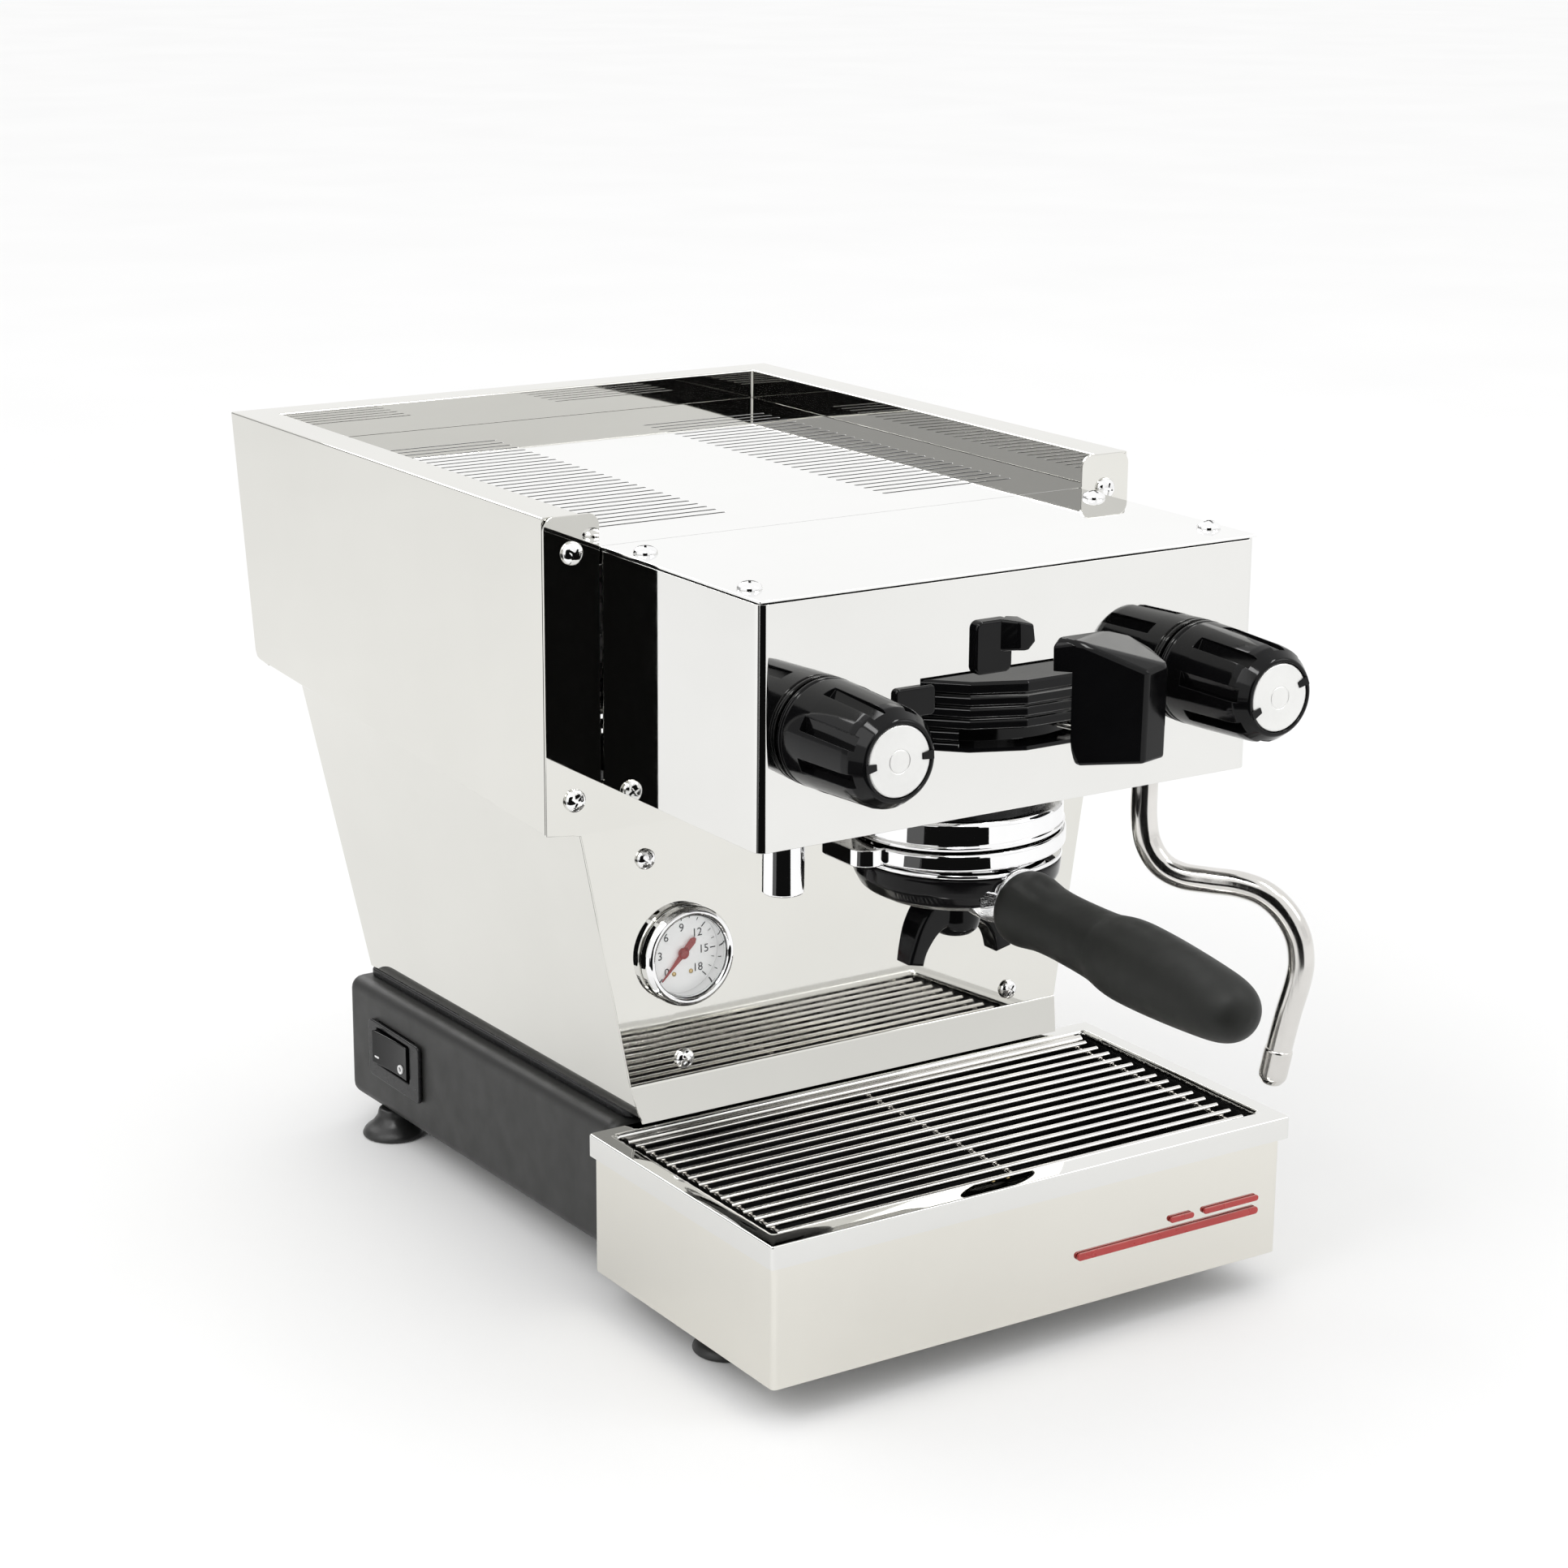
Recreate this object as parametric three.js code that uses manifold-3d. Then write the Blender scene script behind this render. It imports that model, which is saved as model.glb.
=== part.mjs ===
// A compact two-boiler espresso machine, built as an assembly of separate named solids.
// Millimetres, +Z up. The front faces -Y, the left side -X, and the feet stand on Z = 0.
// Shapes are drawn with Y = 0 on the front panel's face; the whole group is then moved so that
// the origin lies under the centre of the bounding box.
import * as THREE from "three";
import { mergeVertices } from "three/addons/utils/BufferGeometryUtils.js";
import { ConvexGeometry } from "three/addons/geometries/ConvexGeometry.js";
import Module from "manifold-3d";

const wasm = await Module();
wasm.setup();

// ---------- driving dimensions ----------
const SHEET = 1.2; // thickness of the polished panels
const GAP = 0.4; // daylight left between neighbouring pieces

const TOP_Z = 377; // top of the cup rails
const BODY_HALF_W = 163.3; // outside of the upper shell
const RAIL_INNER_X = 143.7; // inner face of the side rails
const RAIL_INNER_Y = 311; // inner face of the rear rail
const REAR_TOP_Y = 329; // the rear wall leans forward going down
const REAR_BOTTOM_Y = 309;
const SHELL_BOTTOM_FRONT_Z = 231.5;
const SHELL_BOTTOM_REAR_Z = 251;

const WAIST_Z = 229; // where the front panel narrows into the splash panel
const WAIST_HALF_W = 145.6;
const SIDE_SLOPE = 0.182; // how fast the lower body narrows, mm of X per mm of Z
const BEND_Z = 105.5; // the splash panel's bend above the drip tray
const BEND_Y = -5;
const SPLASH_FOOT_Z = 88.6;
const SPLASH_FOOT_Y = -11;

const HEAD_HALF_W = 134;
const HEAD_FRONT_Y = -130.3;
const HEAD_TOP_Z = 361.5;
const HEAD_BOTTOM_Z = 252;
const HEAD_CORNER_R = 4.5;

const TRAY_TOP_Z = 361.4; // cup tray
const SLOT_PITCH = 8;
const SLOTS_PER_BANK = 29;
const SLOT_FIRST_Y = 39;
const SLOT_INNER_X = 44.5;
const SLOT_OUTER_X = 120.5;
const SLOT_W = 2.2;

const BASE_HALF_W = 130.5;
const BASE_FRONT_Y = 2;
const BASE_REAR_Y = 279;
const BASE_BOTTOM_Z = 20; // at Y = 0; base and plinth drop towards the rear by BASE_TILT
const BASE_TOP_Z = 86;
const BASE_TILT = 0.0217;
const PLINTH_H = 4.2;
const FOOT_REAR_X = 123;
const FOOT_REAR_Y = 243;
const FOOT_FRONT_X = 115;
const FOOT_FRONT_Y = -77;

const DRIP_HALF_W = 142.2;
const DRIP_FRONT_Y = -156.7;
const DRIP_REAR_Y = -12.6; // the basin tucks in under the splash panel's foot
const DRIP_BOTTOM_Z = 18;
const LIP_HALF_W = 145.1;
const LIP_FRONT_Y = -159.7;
const LIP_TOP_Z = 87;
const LIP_H = 10.9;
const BASIN_HALF_W = 135.9;
const BASIN_FRONT_Y = -146.6;
const SHELF_TOP_Z = 25.6; // the chassis's shelf under the drip tray
const GRATE_Z = 83.4; // axes of the grate's rods

const GROUP_Y = -88; // axis of the brew group and of the portafilter
const RING_RAMP = 0.035;
const CAP_Y = -91.5; // axis of the finned cap and of the paddle
const CAP_R = 64;
const CAP_TOP_Z = 317.5;
const CAP_BOTTOM_Z = 286.2;

const KNOB_X = 102;
const KNOB_Z = 301.5;
const KNOB_LENGTH = 57;

const WAND_X = 103;
const WAND_Y = -95;
const SPOUT_X = -102;
const SPOUT_Y = -100.5;

const GAUGE_X = 93;
const GAUGE_Z = 165;
const HANDLE_TIP_Y = -293;

// ---------- materials ----------
const finish = (color, roughness, metalness) =>
  new THREE.MeshStandardMaterial({ color, roughness, metalness });
const polished = finish(0xdfdfdc, 0.06, 1);
const satinSteel = finish(0xb9b7b2, 0.3, 1);
const chrome = finish(0xe6e6e6, 0.04, 1);
const copper = finish(0xb9b2a6, 0.35, 1);
const brass = finish(0xb59a5a, 0.35, 1);
const blackPaint = finish(0x3b3b3a, 0.5, 0);
const glossBlack = finish(0x0b0b0c, 0.12, 0);
const rubber = finish(0x171717, 0.8, 0);
const grip = finish(0x26291f, 0.6, 0);
const white = finish(0xf2f2ee, 0.5, 0);
const red = finish(0xb3201c, 0.4, 0);
const glass = finish(0xe9f2ee, 0.03, 0);
const tankPlastic = finish(0xc9d2d4, 0.2, 0);
const darkPlastic = finish(0x1c1c1e, 0.5, 0);

// ---------- helpers ----------
// A closed geometry as a manifold-3d solid.
function solid(geometry) {
  const bare = geometry.clone();
  bare.deleteAttribute("normal");
  bare.deleteAttribute("uv");
  const merged = mergeVertices(bare, 1e-4);
  const mesh = new wasm.Mesh({
    numProp: 3,
    vertProperties: new Float32Array(merged.attributes.position.array),
    triVerts: new Uint32Array(merged.index.array),
  });
  return new wasm.Manifold(mesh);
}

function box(x0, x1, y0, y1, z0, z1) {
  const g = new THREE.BoxGeometry(x1 - x0, y1 - y0, z1 - z0);
  return solid(g.translate((x0 + x1) / 2, (y0 + y1) / 2, (z0 + z1) / 2));
}

// The axes that an outline's two coordinates and its extrusion run along.
const PLANES = {
  xy: [new THREE.Vector3(1, 0, 0), new THREE.Vector3(0, 1, 0), new THREE.Vector3(0, 0, 1)],
  xz: [new THREE.Vector3(1, 0, 0), new THREE.Vector3(0, 0, 1), new THREE.Vector3(0, -1, 0)],
  yz: [new THREE.Vector3(0, 1, 0), new THREE.Vector3(0, 0, 1), new THREE.Vector3(1, 0, 0)],
};

// An outline (a THREE.Shape or a list of [u, v]) extruded between two places on the third axis.
function prism(outline, plane, from, to, options = {}) {
  const shape = Array.isArray(outline)
    ? new THREE.Shape(outline.map(([u, v]) => new THREE.Vector2(u, v)))
    : outline;
  const bevel = options.bevel ?? 0;
  const g = new THREE.ExtrudeGeometry(shape, {
    depth: to - from - 2 * bevel,
    curveSegments: options.segments ?? 4,
    bevelEnabled: bevel > 0,
    bevelSize: bevel,
    bevelThickness: bevel,
    bevelOffset: -bevel,
    bevelSegments: 2,
  });
  g.translate(0, 0, plane === "xz" ? -to + bevel : from + bevel);
  g.applyMatrix4(new THREE.Matrix4().makeBasis(...PLANES[plane]));
  return solid(g);
}

function roundedRect(u0, u1, v0, v1, r) {
  const s = new THREE.Shape();
  s.moveTo(u0 + r, v0);
  s.lineTo(u1 - r, v0);
  s.absarc(u1 - r, v0 + r, r, -Math.PI / 2, 0);
  s.lineTo(u1, v1 - r);
  s.absarc(u1 - r, v1 - r, r, 0, Math.PI / 2);
  s.lineTo(u0 + r, v1);
  s.absarc(u0 + r, v1 - r, r, Math.PI / 2, Math.PI);
  s.lineTo(u0, v0 + r);
  s.absarc(u0 + r, v0 + r, r, Math.PI, 1.5 * Math.PI);
  return s;
}

// A profile of [radius, height] turned about Z, listed from the bottom of the axis round the
// outside to the top. A ring's profile is a closed loop.
function turned(profile, segments = 24) {
  const points = profile.map(([r, h]) => new THREE.Vector2(r, h));
  return solid(new THREE.LatheGeometry(points, segments).rotateX(Math.PI / 2));
}

const rod = (r, z0, z1, segments = 20) =>
  turned([[0, z0], [r, z0], [r, z1], [0, z1]], segments);
const ring = (r0, r1, z0, z1, segments = 24) =>
  turned([[r0, z0], [r1, z0], [r1, z1], [r0, z1], [r0, z0]], segments);
// Turns a solid made about Z so that its height runs towards the front, -Y.
const facingFront = (s) => s.rotate([90, 0, 0]);

// Adds height to a solid in proportion to Y, as the base and plinth have it.
function tilted(s) {
  return s.warp((v) => {
    v[2] -= BASE_TILT * v[1];
  });
}

const union = (list) => list.reduce((a, b) => a.add(b));

const group = new THREE.Group();

function place(name, made, material) {
  const m = made.getMesh();
  const g = new THREE.BufferGeometry();
  g.setAttribute("position", new THREE.BufferAttribute(new Float32Array(m.vertProperties), 3));
  g.setIndex(new THREE.BufferAttribute(new Uint32Array(m.triVerts), 1));
  g.computeVertexNormals();
  const mesh = new THREE.Mesh(g, material);
  mesh.name = name;
  group.add(mesh);
}

// The splash panel's face: Y at a height, and its half width there.
const splashY = (z) => (z > WAIST_Z ? 0 : (BEND_Y * (WAIST_Z - z)) / (WAIST_Z - BEND_Z));
const lowerHalfWidth = (z) => WAIST_HALF_W - SIDE_SLOPE * (WAIST_Z - z);

// ---------- base ----------
function baseChassis() {
  const edge = 6;
  const plan = roundedRect(-BASE_HALF_W, BASE_HALF_W, BASE_FRONT_Y, BASE_REAR_Y, 9);
  const tub = prism(plan, "xy", BASE_BOTTOM_Z, BASE_TOP_Z, { bevel: edge });
  const wall = 3;
  const room = box(
    -BASE_HALF_W + wall, BASE_HALF_W - wall, BASE_FRONT_Y + wall + 2, BASE_REAR_Y - wall,
    BASE_BOTTOM_Z + wall, BASE_TOP_Z - 8,
  );
  const mouth = box(-112, 112, 12, 262, BASE_TOP_Z - 10, BASE_TOP_Z + 5);
  const switchHole = box(-BASE_HALF_W - 5, -BASE_HALF_W + 10, 201, 243, 39.5, 65.5);
  const inletHole = box(68, 98, BASE_REAR_Y - 12, BASE_REAR_Y + 5, 40, 62);
  const shelf = box(-BASE_HALF_W, BASE_HALF_W, -112, BASE_FRONT_Y + 9, SHELF_TOP_Z - 4, SHELF_TOP_Z);
  return tilted(tub.subtract(room).subtract(mouth)).add(shelf)
    .subtract(switchHole).subtract(inletHole);
}

function foot(top) {
  const neck = 6.5;
  return turned(
    [[0, 0], [16, 0], [16.5, 3], [13, 5], [9, 8], [neck, 11], [neck, top], [0, top]],
    16,
  );
}

function plinth() {
  const x = lowerHalfWidth(BASE_TOP_Z) + 0.6;
  const outer = box(-x, x, 4, 272, BASE_TOP_Z + 0.3, BASE_TOP_Z + 0.3 + PLINTH_H);
  const inner = box(-x + 5, x - 5, 9, 267, BASE_TOP_Z, BASE_TOP_Z + 6);
  return tilted(outer.subtract(inner));
}

// ---------- outer panels ----------
const LOWER_FOOT_Z = BASE_TOP_Z + PLINTH_H + 0.6;
const lowerFootZ = (y) => LOWER_FOOT_Z - BASE_TILT * y;
const shellBottomZ = (y) =>
  SHELL_BOTTOM_FRONT_Z + ((SHELL_BOTTOM_REAR_Z - SHELL_BOTTOM_FRONT_Z) * y) / REAR_BOTTOM_Y;
const LOWER_REAR_TOP_Y = 289;
const LOWER_REAR_FOOT_Y = 272.5;

function lowerSide(side) {
  const clear = SHEET + GAP;
  const rearTop = LOWER_REAR_TOP_Y;
  const rearFoot = LOWER_REAR_FOOT_Y;
  const outline = [
    [SPLASH_FOOT_Y + 2 * clear, lowerFootZ(0)],
    [rearFoot, lowerFootZ(rearFoot)],
    [rearTop, shellBottomZ(rearTop) - GAP],
    [clear, shellBottomZ(clear) - GAP],
    [splashY(BEND_Z) + clear, BEND_Z],
  ];
  const inside = side < 0 ? 0 : -SHEET;
  const plate = prism(outline, "yz", inside, inside + SHEET);
  return plate.warp((v) => {
    v[0] += side * lowerHalfWidth(v[2]);
  });
}

function lowerRear() {
  const footZ = lowerFootZ(LOWER_REAR_FOOT_Y);
  const topZ = shellBottomZ(LOWER_REAR_TOP_Y) - GAP;
  const profile = [
    [LOWER_REAR_FOOT_Y - SHEET - GAP, footZ],
    [LOWER_REAR_FOOT_Y - GAP, footZ],
    [LOWER_REAR_TOP_Y - GAP, topZ],
    [LOWER_REAR_TOP_Y - SHEET - GAP, topZ],
  ];
  const inset = SHEET + GAP;
  const plate = prism(profile, "yz", -WAIST_HALF_W, WAIST_HALF_W).warp((v) => {
    v[0] = Math.sign(v[0]) * (lowerHalfWidth(v[2]) - inset);
  });
  const louvres = [];
  for (let row = 0; row < 6; row++) {
    for (const x of [-60, 60]) {
      louvres.push(box(x - 32, x + 32, 240, 320, 190 + row * 8, 192.4 + row * 8));
    }
  }
  return plate.subtract(union(louvres));
}

// The upper shell: sides, rear and rails bent from one sheet, open at the front, top and bottom.
function upperShell() {
  const front = SHEET + GAP;
  const outline = (d) => [
    [front - d, shellBottomZ(front) + d],
    [REAR_BOTTOM_Y - d, SHELL_BOTTOM_REAR_Z + d],
    [REAR_TOP_Y - d, TOP_Z - d],
    [front - d, TOP_Z - d],
  ];
  const outer = prism(outline(0), "yz", -BODY_HALF_W, BODY_HALF_W);
  const inner = prism(outline(SHEET), "yz", -BODY_HALF_W + SHEET, BODY_HALF_W - SHEET);
  const opening = box(-RAIL_INNER_X, RAIL_INNER_X, -5, RAIL_INNER_Y, 345, TOP_Z + 5);
  const wallTop = TOP_Z - SHEET / 2;
  const wall = box(
    -RAIL_INNER_X - SHEET, RAIL_INNER_X + SHEET, front, RAIL_INNER_Y + SHEET, 350.4, wallTop,
  );
  const ledge = box(
    -RAIL_INNER_X - SHEET, RAIL_INNER_X + SHEET, front, RAIL_INNER_Y + SHEET, 350.4, 352,
  ).subtract(box(-RAIL_INNER_X + 7, RAIL_INNER_X - 7, -5, RAIL_INNER_Y - 7, 340, 360));
  const floor = box(-139, 139, -5, 282, 200, 262);
  const shell = outer.subtract(inner).subtract(floor).subtract(opening);
  return union([shell, wall.subtract(opening), ledge]);
}

// The front panel: two ears beside the head, and the splash panel with its bend below.
function frontPanel() {
  const profile = [
    [SPLASH_FOOT_Y, SPLASH_FOOT_Z],
    [SPLASH_FOOT_Y + SHEET, SPLASH_FOOT_Z],
    [BEND_Y + SHEET, BEND_Z],
    [SHEET, WAIST_Z],
    [SHEET, TOP_Z],
    [0, TOP_Z],
    [0, WAIST_Z],
    [BEND_Y, BEND_Z],
  ];
  const sheet = prism(profile, "yz", -BODY_HALF_W, BODY_HALF_W);
  const s = new THREE.Shape();
  const r = 6;
  const earX = HEAD_HALF_W + 0.7;
  const footX = lowerHalfWidth(SPLASH_FOOT_Z);
  s.moveTo(-footX, SPLASH_FOOT_Z - 1);
  s.lineTo(footX, SPLASH_FOOT_Z - 1);
  s.lineTo(WAIST_HALF_W, WAIST_Z);
  s.lineTo(BODY_HALF_W, SHELL_BOTTOM_FRONT_Z);
  s.lineTo(BODY_HALF_W, TOP_Z - r);
  s.absarc(BODY_HALF_W - r, TOP_Z - r, r, 0, Math.PI / 2);
  s.lineTo(earX + r, TOP_Z);
  s.absarc(earX + r, TOP_Z - r, r, Math.PI / 2, Math.PI);
  s.lineTo(earX, HEAD_BOTTOM_Z + 2);
  s.lineTo(-earX, HEAD_BOTTOM_Z + 2);
  s.lineTo(-earX, TOP_Z - r);
  s.absarc(-earX - r, TOP_Z - r, r, 0, Math.PI / 2);
  s.lineTo(-BODY_HALF_W + r, TOP_Z);
  s.absarc(-BODY_HALF_W + r, TOP_Z - r, r, Math.PI / 2, Math.PI);
  s.lineTo(-BODY_HALF_W, SHELL_BOTTOM_FRONT_Z);
  s.lineTo(-WAIST_HALF_W, WAIST_Z);
  const blank = prism(s, "xz", -30, 30);
  const holes = [-1, 1].map((side) =>
    facingFront(rod(22.2, -30, 30, 28)).translate([side * GAUGE_X, 0, GAUGE_Z]),
  );
  return sheet.intersect(blank).subtract(union(holes));
}

function cupTray() {
  const x = RAIL_INNER_X - 0.8;
  const y0 = SHEET + GAP;
  const y1 = RAIL_INNER_Y - 0.8;
  const block = box(-x, x, y0, y1, TRAY_TOP_Z - 9, TRAY_TOP_Z);
  const under = box(-x + SHEET, x - SHEET, y0 + SHEET, y1 - SHEET, TRAY_TOP_Z - 12, TRAY_TOP_Z - SHEET);
  const slots = [];
  for (let i = 0; i < SLOTS_PER_BANK; i++) {
    const y = SLOT_FIRST_Y + i * SLOT_PITCH;
    for (const side of [-1, 1]) {
      const inner = side * SLOT_INNER_X;
      const outer = side * SLOT_OUTER_X;
      slots.push(
        box(Math.min(inner, outer), Math.max(inner, outer), y - SLOT_W / 2, y + SLOT_W / 2,
          TRAY_TOP_Z - 3, TRAY_TOP_Z + 3),
      );
    }
  }
  return block.subtract(under).subtract(union(slots));
}

// ---------- head ----------
function headCover() {
  const top = HEAD_TOP_Z - SHEET - 0.8;
  const plan = (d, rear) =>
    roundedRect(-HEAD_HALF_W + d, HEAD_HALF_W - d, HEAD_FRONT_Y + d, rear, HEAD_CORNER_R - d);
  const rear = -GAP;
  const outer = prism(plan(0, 20), "xy", HEAD_BOTTOM_Z, top, { segments: 4 });
  const inner = prism(plan(SHEET, 30), "xy", HEAD_BOTTOM_Z - 5, top + 5, { segments: 4 });
  const open = box(-HEAD_HALF_W - 5, HEAD_HALF_W + 5, rear, 40, HEAD_BOTTOM_Z - 5, top + 5);
  const capMouth = box(-52, 52, HEAD_FRONT_Y - 5, HEAD_FRONT_Y + 5, CAP_BOTTOM_Z - 0.6, CAP_TOP_Z + 0.6);
  const stems = [-1, 1].map((side) =>
    facingFront(rod(7, 120, 140, 24)).translate([side * KNOB_X, 0, KNOB_Z]),
  );
  return outer.subtract(inner).subtract(open).subtract(capMouth).subtract(union(stems));
}

function headTopPlate() {
  const x = HEAD_HALF_W + 0.1;
  const plan = roundedRect(-x, x, HEAD_FRONT_Y - 0.3, 0.7, 1.5);
  return prism(plan, "xy", HEAD_TOP_Z - SHEET, HEAD_TOP_Z, { segments: 2 });
}

function headFloor() {
  const x = HEAD_HALF_W - SHEET - GAP;
  const y = HEAD_FRONT_Y + SHEET + GAP;
  const plan = roundedRect(-x, x, y, -GAP, HEAD_CORNER_R);
  const plate = prism(plan, "xy", HEAD_BOTTOM_Z + 1, HEAD_BOTTOM_Z + 1 + SHEET, { segments: 2 });
  return plate
    .subtract(rod(36.6, 240, 270, 32).translate([0, GROUP_Y, 0]))
    .subtract(rod(7.8, 240, 270).translate([WAND_X, WAND_Y, 0]))
    .subtract(rod(10, 240, 270).translate([SPOUT_X, SPOUT_Y, 0]));
}

// A domed screw head with its slot; the shank goes through the sheet behind it.
function domedScrew(r, height) {
  const dome = [];
  for (let i = 0; i <= 3; i++) {
    const a = (i * Math.PI) / 6;
    dome.push([r * Math.cos(a), 0.35 + height * Math.sin(a)]);
  }
  const head = turned([[0, 0.35], ...dome.slice(0, -1), [0, 0.35 + height]], 14);
  return head.subtract(box(-0.5, 0.5, -r, r, height - 0.3, height + 3));
}

// ---------- brew group ----------
function groupBody() {
  return turned(
    [[0, 246], [34, 246], [34, 249], [36, 249], [36, 262], [29, 262], [29, 332], [0, 332]], 32,
  ).translate([0, GROUP_Y, 0]);
}

// The bayonet ring: a tall band over a lower lip, which is cut away where the ears go in.
function groupRing() {
  const lip = ring(41, 49, 225.6, 233.4, 40);
  const lug = prism(roundedRect(-60, -38, -10, 24, 7), "xy", 225.6, 233.4);
  const mouths = [0, 180].map((turn) => box(30, 70, -9, 9, 220, 233.4).rotate([0, 0, turn - 35]));
  const band = ring(45, 48, 233.4, 248.6, 40);
  const collar = ring(34.6, 46, 246, 248.6, 40);
  const open = lip.add(lug.subtract(rod(41, 220, 240, 40))).subtract(union(mouths));
  // the lower edges climb to the right, as the bayonet's ramp does
  return union([open, band, collar])
    .warp((v) => {
      v[2] += v[2] < 235 ? RING_RAMP * (v[0] + 48) : 0;
    })
    .translate([0, GROUP_Y, 0]);
}

const showerScreen = () => rod(29, 244, 245.6, 28).translate([0, GROUP_Y, 0]);

// A plan sector of a ring about the cap's axis; angles in degrees from -Y towards +X.
function sector(r0, r1, from, to, z0, z1) {
  const at = (r, deg) => {
    const a = THREE.MathUtils.degToRad(deg);
    return [r * Math.sin(a), -r * Math.cos(a)];
  };
  const steps = 8;
  const outline = [];
  for (let i = 0; i <= steps; i++) outline.push(at(r1, from + ((to - from) * i) / steps));
  for (let i = steps; i >= 0; i--) outline.push(at(r0, from + ((to - from) * i) / steps));
  return prism(outline, "xy", z0, z1).translate([0, CAP_Y, 0]);
}

function groupCap() {
  const sides = 16;
  const polygon = (r, z0, z1) =>
    turned([[0, z0], [r, z0], [r, z1], [0, z1]], sides).rotate([0, 0, 180 / sides]);
  const fins = 6;
  const pitch = (CAP_TOP_Z - CAP_BOTTOM_Z) / fins;
  const core = polygon(CAP_R - 3, CAP_BOTTOM_Z, CAP_TOP_Z);
  const layers = [];
  for (let i = 0; i < fins; i++) {
    const z = CAP_BOTTOM_Z + i * pitch;
    layers.push(polygon(CAP_R, z, z + (i === fins - 1 ? pitch : pitch - 1.5)));
  }
  const bore = rod(30, 280, 330, 32).translate([0, GROUP_Y - CAP_Y, 0]);
  const window = sector(50, 70, -39, 41, 288, 296).translate([0, -CAP_Y, 0]);
  const lug = prism(roundedRect(-68, -46, 303, 316, 1.5), "xz", HEAD_FRONT_Y - 4.5, HEAD_FRONT_Y - GAP)
    .translate([0, -CAP_Y, 0]);
  return union([core, ...layers, lug]).subtract(bore).subtract(window).translate([0, CAP_Y, 0]);
}

// The paddle: a faceted block in front of the cap, on an arm that runs in the cap's window.
function brewPaddle() {
  const low = 276;
  const p = (x, y, z) => new THREE.Vector3(x, y, z);
  const block = solid(
    new ConvexGeometry([
      p(13.5, -157, low), p(39.5, -170, low), p(54, -166, low), p(56, -150, low), p(40, -142, low),
      p(13.5, -157, 320.5), p(39.5, -170, 314), p(54, -166, 314), p(57, -150, 321),
      p(8.5, -150, 319), p(8.5, -149, 331), p(31, -146, 329.5), p(12, -148.5, 331), p(50, -142, 326),
    ]),
  );
  const swept = rod(65, 260, CAP_TOP_Z + 0.6, 48).add(rod(55.8, 300, 345, 40));
  const arm = sector(52, 70, 14, 38, 289, 295);
  return block.subtract(swept.translate([0, CAP_Y, 0])).add(arm);
}

function capTab() {
  const z = CAP_TOP_Z + 0.4;
  const web = prism(roundedRect(-27, -8.5, z, 340.5, 2), "xz", HEAD_FRONT_Y - 6.5, HEAD_FRONT_Y - GAP);
  const nub = prism(roundedRect(-11, -1.8, 328, 339.5, 2), "xz", HEAD_FRONT_Y - 15, HEAD_FRONT_Y - GAP);
  return web.add(nub);
}

// ---------- portafilter ----------
function portafilterBody() {
  const bowl = turned(
    [
      [0, 203.6], [20, 203.6], [38, 205.2], [44, 208.8], [47, 214.5], [47.6, 224.6],
      [39.5, 224.6], [39.5, 241], [36.5, 241], [36.5, 211], [33, 208.5], [6, 208], [0, 208],
    ],
    36,
  );
  const neck = facingFront(turned(
    [[0, 38], [13, 38], [9.5, 46], [9.5, 52], [12, 54], [12, 57], [0, 57]], 18,
  )).translate([0, 0, 213]);
  const waste = rod(36.6, 208.1, 230, 36);
  const ears = [0, 180].map((turn) => box(30, 44, -7, 7, 238.4, 240.8).rotate([0, 0, turn + 10]));
  const hole = rod(38, 237, 242, 36);
  return union([bowl, neck.subtract(waste), ...ears.map((ear) => ear.subtract(hole))])
    .translate([0, GROUP_Y, 0]);
}

function filterBasket() {
  return turned(
    [
      [0, 211], [28, 211], [33, 214], [34.5, 241.4], [39, 241.4], [39, 242.4], [33.6, 242.4],
      [32.2, 214.6], [27.6, 212], [0, 212],
    ],
    32,
  ).translate([0, GROUP_Y, 0]);
}

// The grip: a waisted shape turned about an axis that drops slightly towards its end.
function portafilterHandle() {
  const start = 145.4 + GROUP_Y;
  const length = -HANDLE_TIP_Y + GROUP_Y - start;
  const outline = [
    [0.01, 14.2], [0.03, 14.7], [0.16, 15], [0.28, 15.1], [0.36, 15.9], [0.42, 16.6], [0.5, 18.1], [0.58, 18],
    [0.68, 17.2], [0.8, 15.9], [0.9, 14.2],
  ];
  const profile = [[0, 0], [12.5, 0], ...outline.map(([t, r]) => [r, t * length])];
  const tipStart = 0.9 * length;
  for (let i = 1; i < 5; i++) {
    const a = (i * Math.PI) / 10;
    profile.push([14.2 * Math.cos(a), tipStart + (length - tipStart) * Math.sin(a)]);
  }
  profile.push([0, length]);
  return facingFront(turned(profile, 24))
    .rotate([2.8, 0, 0])
    .translate([0, GROUP_Y - start, 209]);
}

// Two prongs that curve out and down from a boss under the bowl.
function doubleSpout() {
  const boss = turned([[0, 183], [9, 183], [12.5, 187], [12.5, 203.2], [0, 203.2]], 20);
  const prongs = [-1, 1].map((side) => {
    const s = new THREE.Shape();
    s.moveTo(0, 203.2);
    s.lineTo(side * 13, 203.2);
    s.quadraticCurveTo(side * 26, 196, side * 28, 174);
    s.lineTo(side * 20, 172);
    s.quadraticCurveTo(side * 16, 188, 0, 189);
    return prism(s, "xz", -8, 8, { segments: 6 });
  });
  return union([boss, ...prongs]).translate([0, GROUP_Y, 0]);
}

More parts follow.
